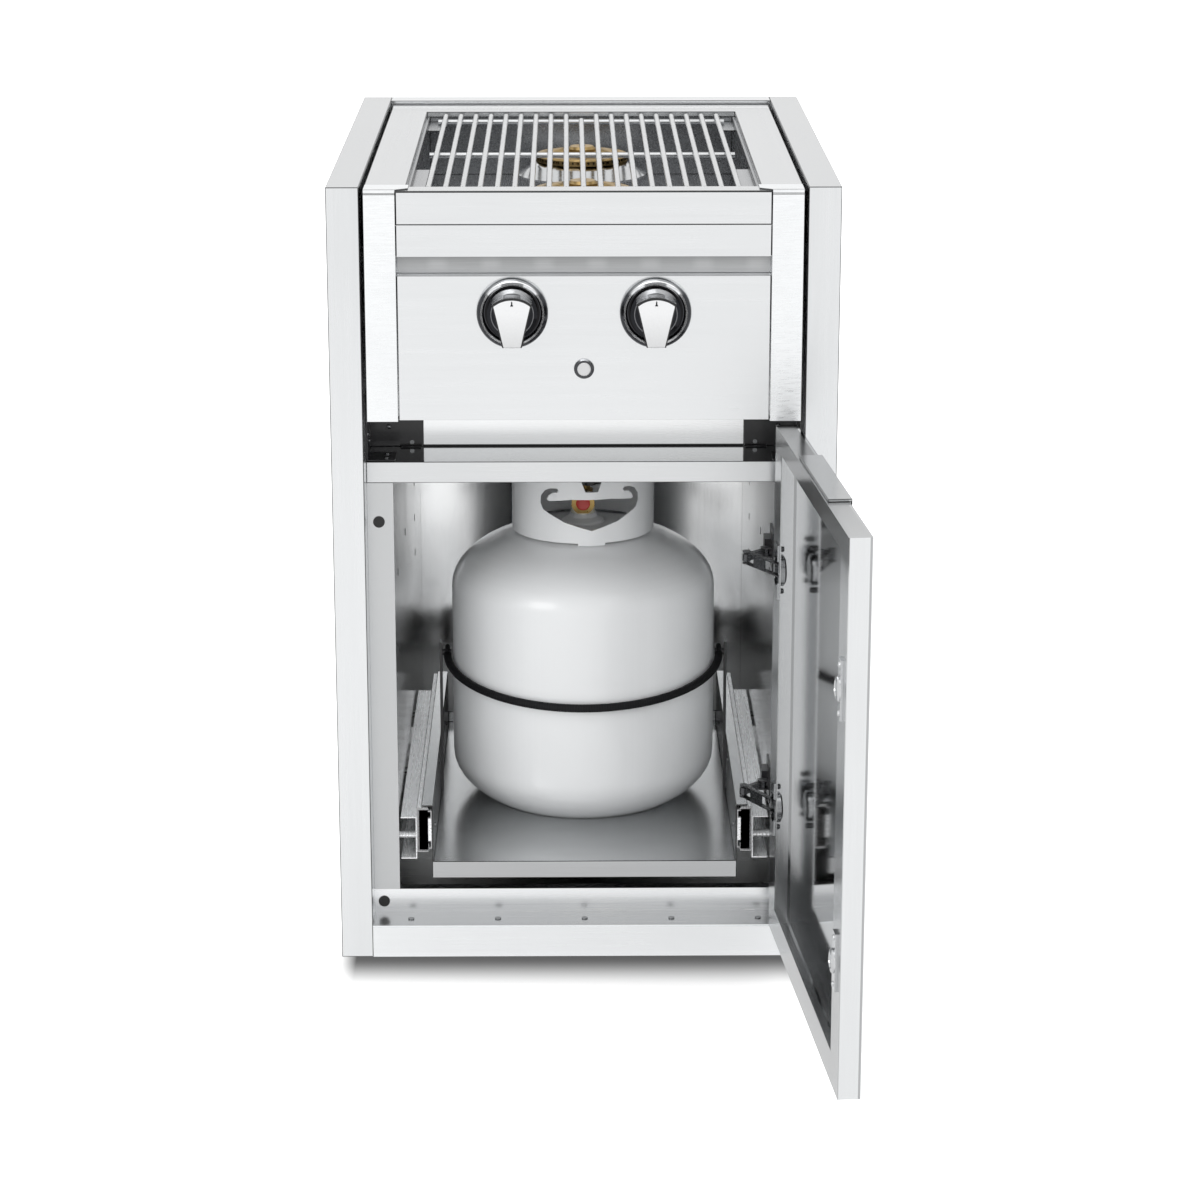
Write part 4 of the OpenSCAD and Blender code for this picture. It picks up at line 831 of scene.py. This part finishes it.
verts, faces = lathe(DISC, lambda u, v, w: (u, VALVE_DISC[0] - w, VALVE_DISC[1] + v), DISC_STEPS)
piece("valve_disc", verts, faces, "red", "tray", smooth=True)
pucks = []
for z in CATCH_HEIGHTS:
    for form, steps, shift in ((PUCK, PUCK_STEPS, 0), (HEAD, SCREW_STEPS, -CATCH_SCREW),
                               (HEAD, SCREW_STEPS, CATCH_SCREW)):
        pucks.append(lathe(form, lambda u, v, w, z=z + shift:
                           as_open(CATCH_X + u, CATCH_Y + w, z + v), steps))
piece("catch_pucks", *joined(pucks), "nickel", "door", smooth=True)
ends = [lathe(SCREW_END, lambda u, v, w, z=hinge + shift:
              as_open(CUP_X + u, CUP_Y - w, z + v), SCREW_STEPS)
        for hinge in HINGE_HEIGHTS for shift in (-CUP_SCREW, CUP_SCREW)]
piece("hinge_screw_ends", *joined(ends), "arm", "door", smooth=True)

# ---------------------------------------------------------------- stage, lights, camera
FLOOR_PALE, FLOOR_MIRRORED = 0.72, 0.30
FLOOR_SEEN, FLOOR_GLOSSY = 0.75, 0.60
SHADE_X, SHADE_SOFT = 0.262, 0.028
WORLD_LIGHT, WORLD_SEEN = 1.3, 1.0


def contact_shade(g):
    """A factor for the soft shade on the floor along the front of the cabinet."""
    ahead = g.math("SUBTRACT", -HALF_DEPTH, g.y)
    shade = g.math("ADD", g.remap(ahead, 0.083, 0.78, 0.005, 0.105, "SMOOTHSTEP"),
                   g.remap(ahead, 0.0, 0.22, 0.105, 0.160))
    beside = g.math("MULTIPLY", g.remap(g.x, 0.0, 1.0, -SHADE_X - SHADE_SOFT, -SHADE_X),
                    g.remap(g.x, 1.0, 0.0, SHADE_X, SHADE_X + SHADE_SOFT))
    near = g.math("MULTIPLY", beside, g.remap(ahead, 0.0, 1.0, -0.03, 0.0))
    return g.blend(near, 1.0, shade)


def stage_floor():
    """Pale floor that the camera and the metal see as white, with its real shade kept and a painted
    contact shadow along the cabinet's front.
    """
    bpy.ops.mesh.primitive_plane_add(size=60, location=(0, 0, 0))
    floor = bpy.context.object
    floor.name = "floor"
    g = Graph("floor_white")
    g.set(Roughness=0.9, Specular_IOR_Level=0.0)
    ray = g.new("ShaderNodeLightPath")
    camera, glossy = ray.outputs["Is Camera Ray"], ray.outputs["Is Glossy Ray"]
    # A painted shadow along the front of the cabinet.
    contact = contact_shade(g)
    pale = g.blend(contact, (0.0, 0.0, 0.0), (FLOOR_PALE,) * 3)
    g.paint_with(g.blend(glossy, pale, (FLOOR_MIRRORED,) * 3))
    seen = g.math("MULTIPLY", g.math("MULTIPLY", camera, FLOOR_SEEN), contact)
    lift = g.new("ShaderNodeEmission")
    lift.inputs["Color"].default_value = (*WHITE, 1)
    g.link(g.math("ADD", seen, g.math("MULTIPLY", glossy, FLOOR_GLOSSY)),
           lift.inputs["Strength"])
    both = g.new("ShaderNodeAddShader")
    g.link(g.bsdf.outputs[0], both.inputs[0])
    g.link(lift.outputs[0], both.inputs[1])
    g.link(both.outputs[0], g.out.inputs[0])
    floor.data.materials.append(g.mat)


def world_light():
    """Plain white studio light; seen directly, in a mirror or through glass it is just white."""
    world = bpy.data.worlds.new("studio")
    bpy.context.scene.world = world
    world.use_nodes = True
    nt = world.node_tree
    nt.nodes.clear()

    def background(strength):
        node = nt.nodes.new("ShaderNodeBackground")
        node.inputs["Color"].default_value = (*WHITE, 1)
        node.inputs["Strength"].default_value = strength
        return node.outputs[0]

    def either(a, b):
        node = nt.nodes.new("ShaderNodeMath")
        node.operation = "MAXIMUM"
        nt.links.new(a, node.inputs[0])
        nt.links.new(b, node.inputs[1])
        return node.outputs[0]

    path = nt.nodes.new("ShaderNodeLightPath").outputs
    seen = either(either(path["Is Camera Ray"], path["Is Glossy Ray"]),
                  path["Is Transmission Ray"])
    mix = nt.nodes.new("ShaderNodeMixShader")
    out = nt.nodes.new("ShaderNodeOutputWorld")
    for index, source in enumerate((seen, background(WORLD_LIGHT), background(WORLD_SEEN))):
        nt.links.new(source, mix.inputs[index])
    nt.links.new(mix.outputs[0], out.inputs[0])


def area(name, at, aim, size, power):
    """A soft rectangular lamp that looks at a point."""
    lamp = bpy.data.lights.new(name, "AREA")
    lamp.shape = "RECTANGLE"
    lamp.size, lamp.size_y = size
    lamp.energy = power
    obj = bpy.data.objects.new(name, lamp)
    bpy.context.scene.collection.objects.link(obj)
    obj.location = at
    obj.rotation_euler = (Vector(aim) - Vector(at)).to_track_quat("-Z", "Y").to_euler()


stage_floor()
world_light()
area("left", (-2.3, -3.2, 1.7), (0, -0.2, 0.4), (1.5, 1.5), 27)
area("right", (2.0, -3.5, 1.9), (0, -0.2, 0.35), (1.3, 1.5), 20)
area("above", (-0.6, -1.2, 3.6), (0, -0.1, 0.5), (1.8, 1.8), 12)

CAMERA_AT = (-0.0191, -3.9539, 1.4539)
CAMERA_TILT, CAMERA_TURN = math.radians(73.99), -0.0102
cam_data = bpy.data.cameras.new("camera")
cam_data.lens = 100.2
cam_data.sensor_width = 36.0
cam_data.clip_end = 100.0
cam = bpy.data.objects.new("camera", cam_data)
bpy.context.scene.collection.objects.link(cam)
cam.location = CAMERA_AT
cam.rotation_euler = (CAMERA_TILT, 0.0, CAMERA_TURN)
bpy.context.scene.camera = cam
bpy.context.scene.view_settings.view_transform = "Standard"

bpy.context.view_layer.update()
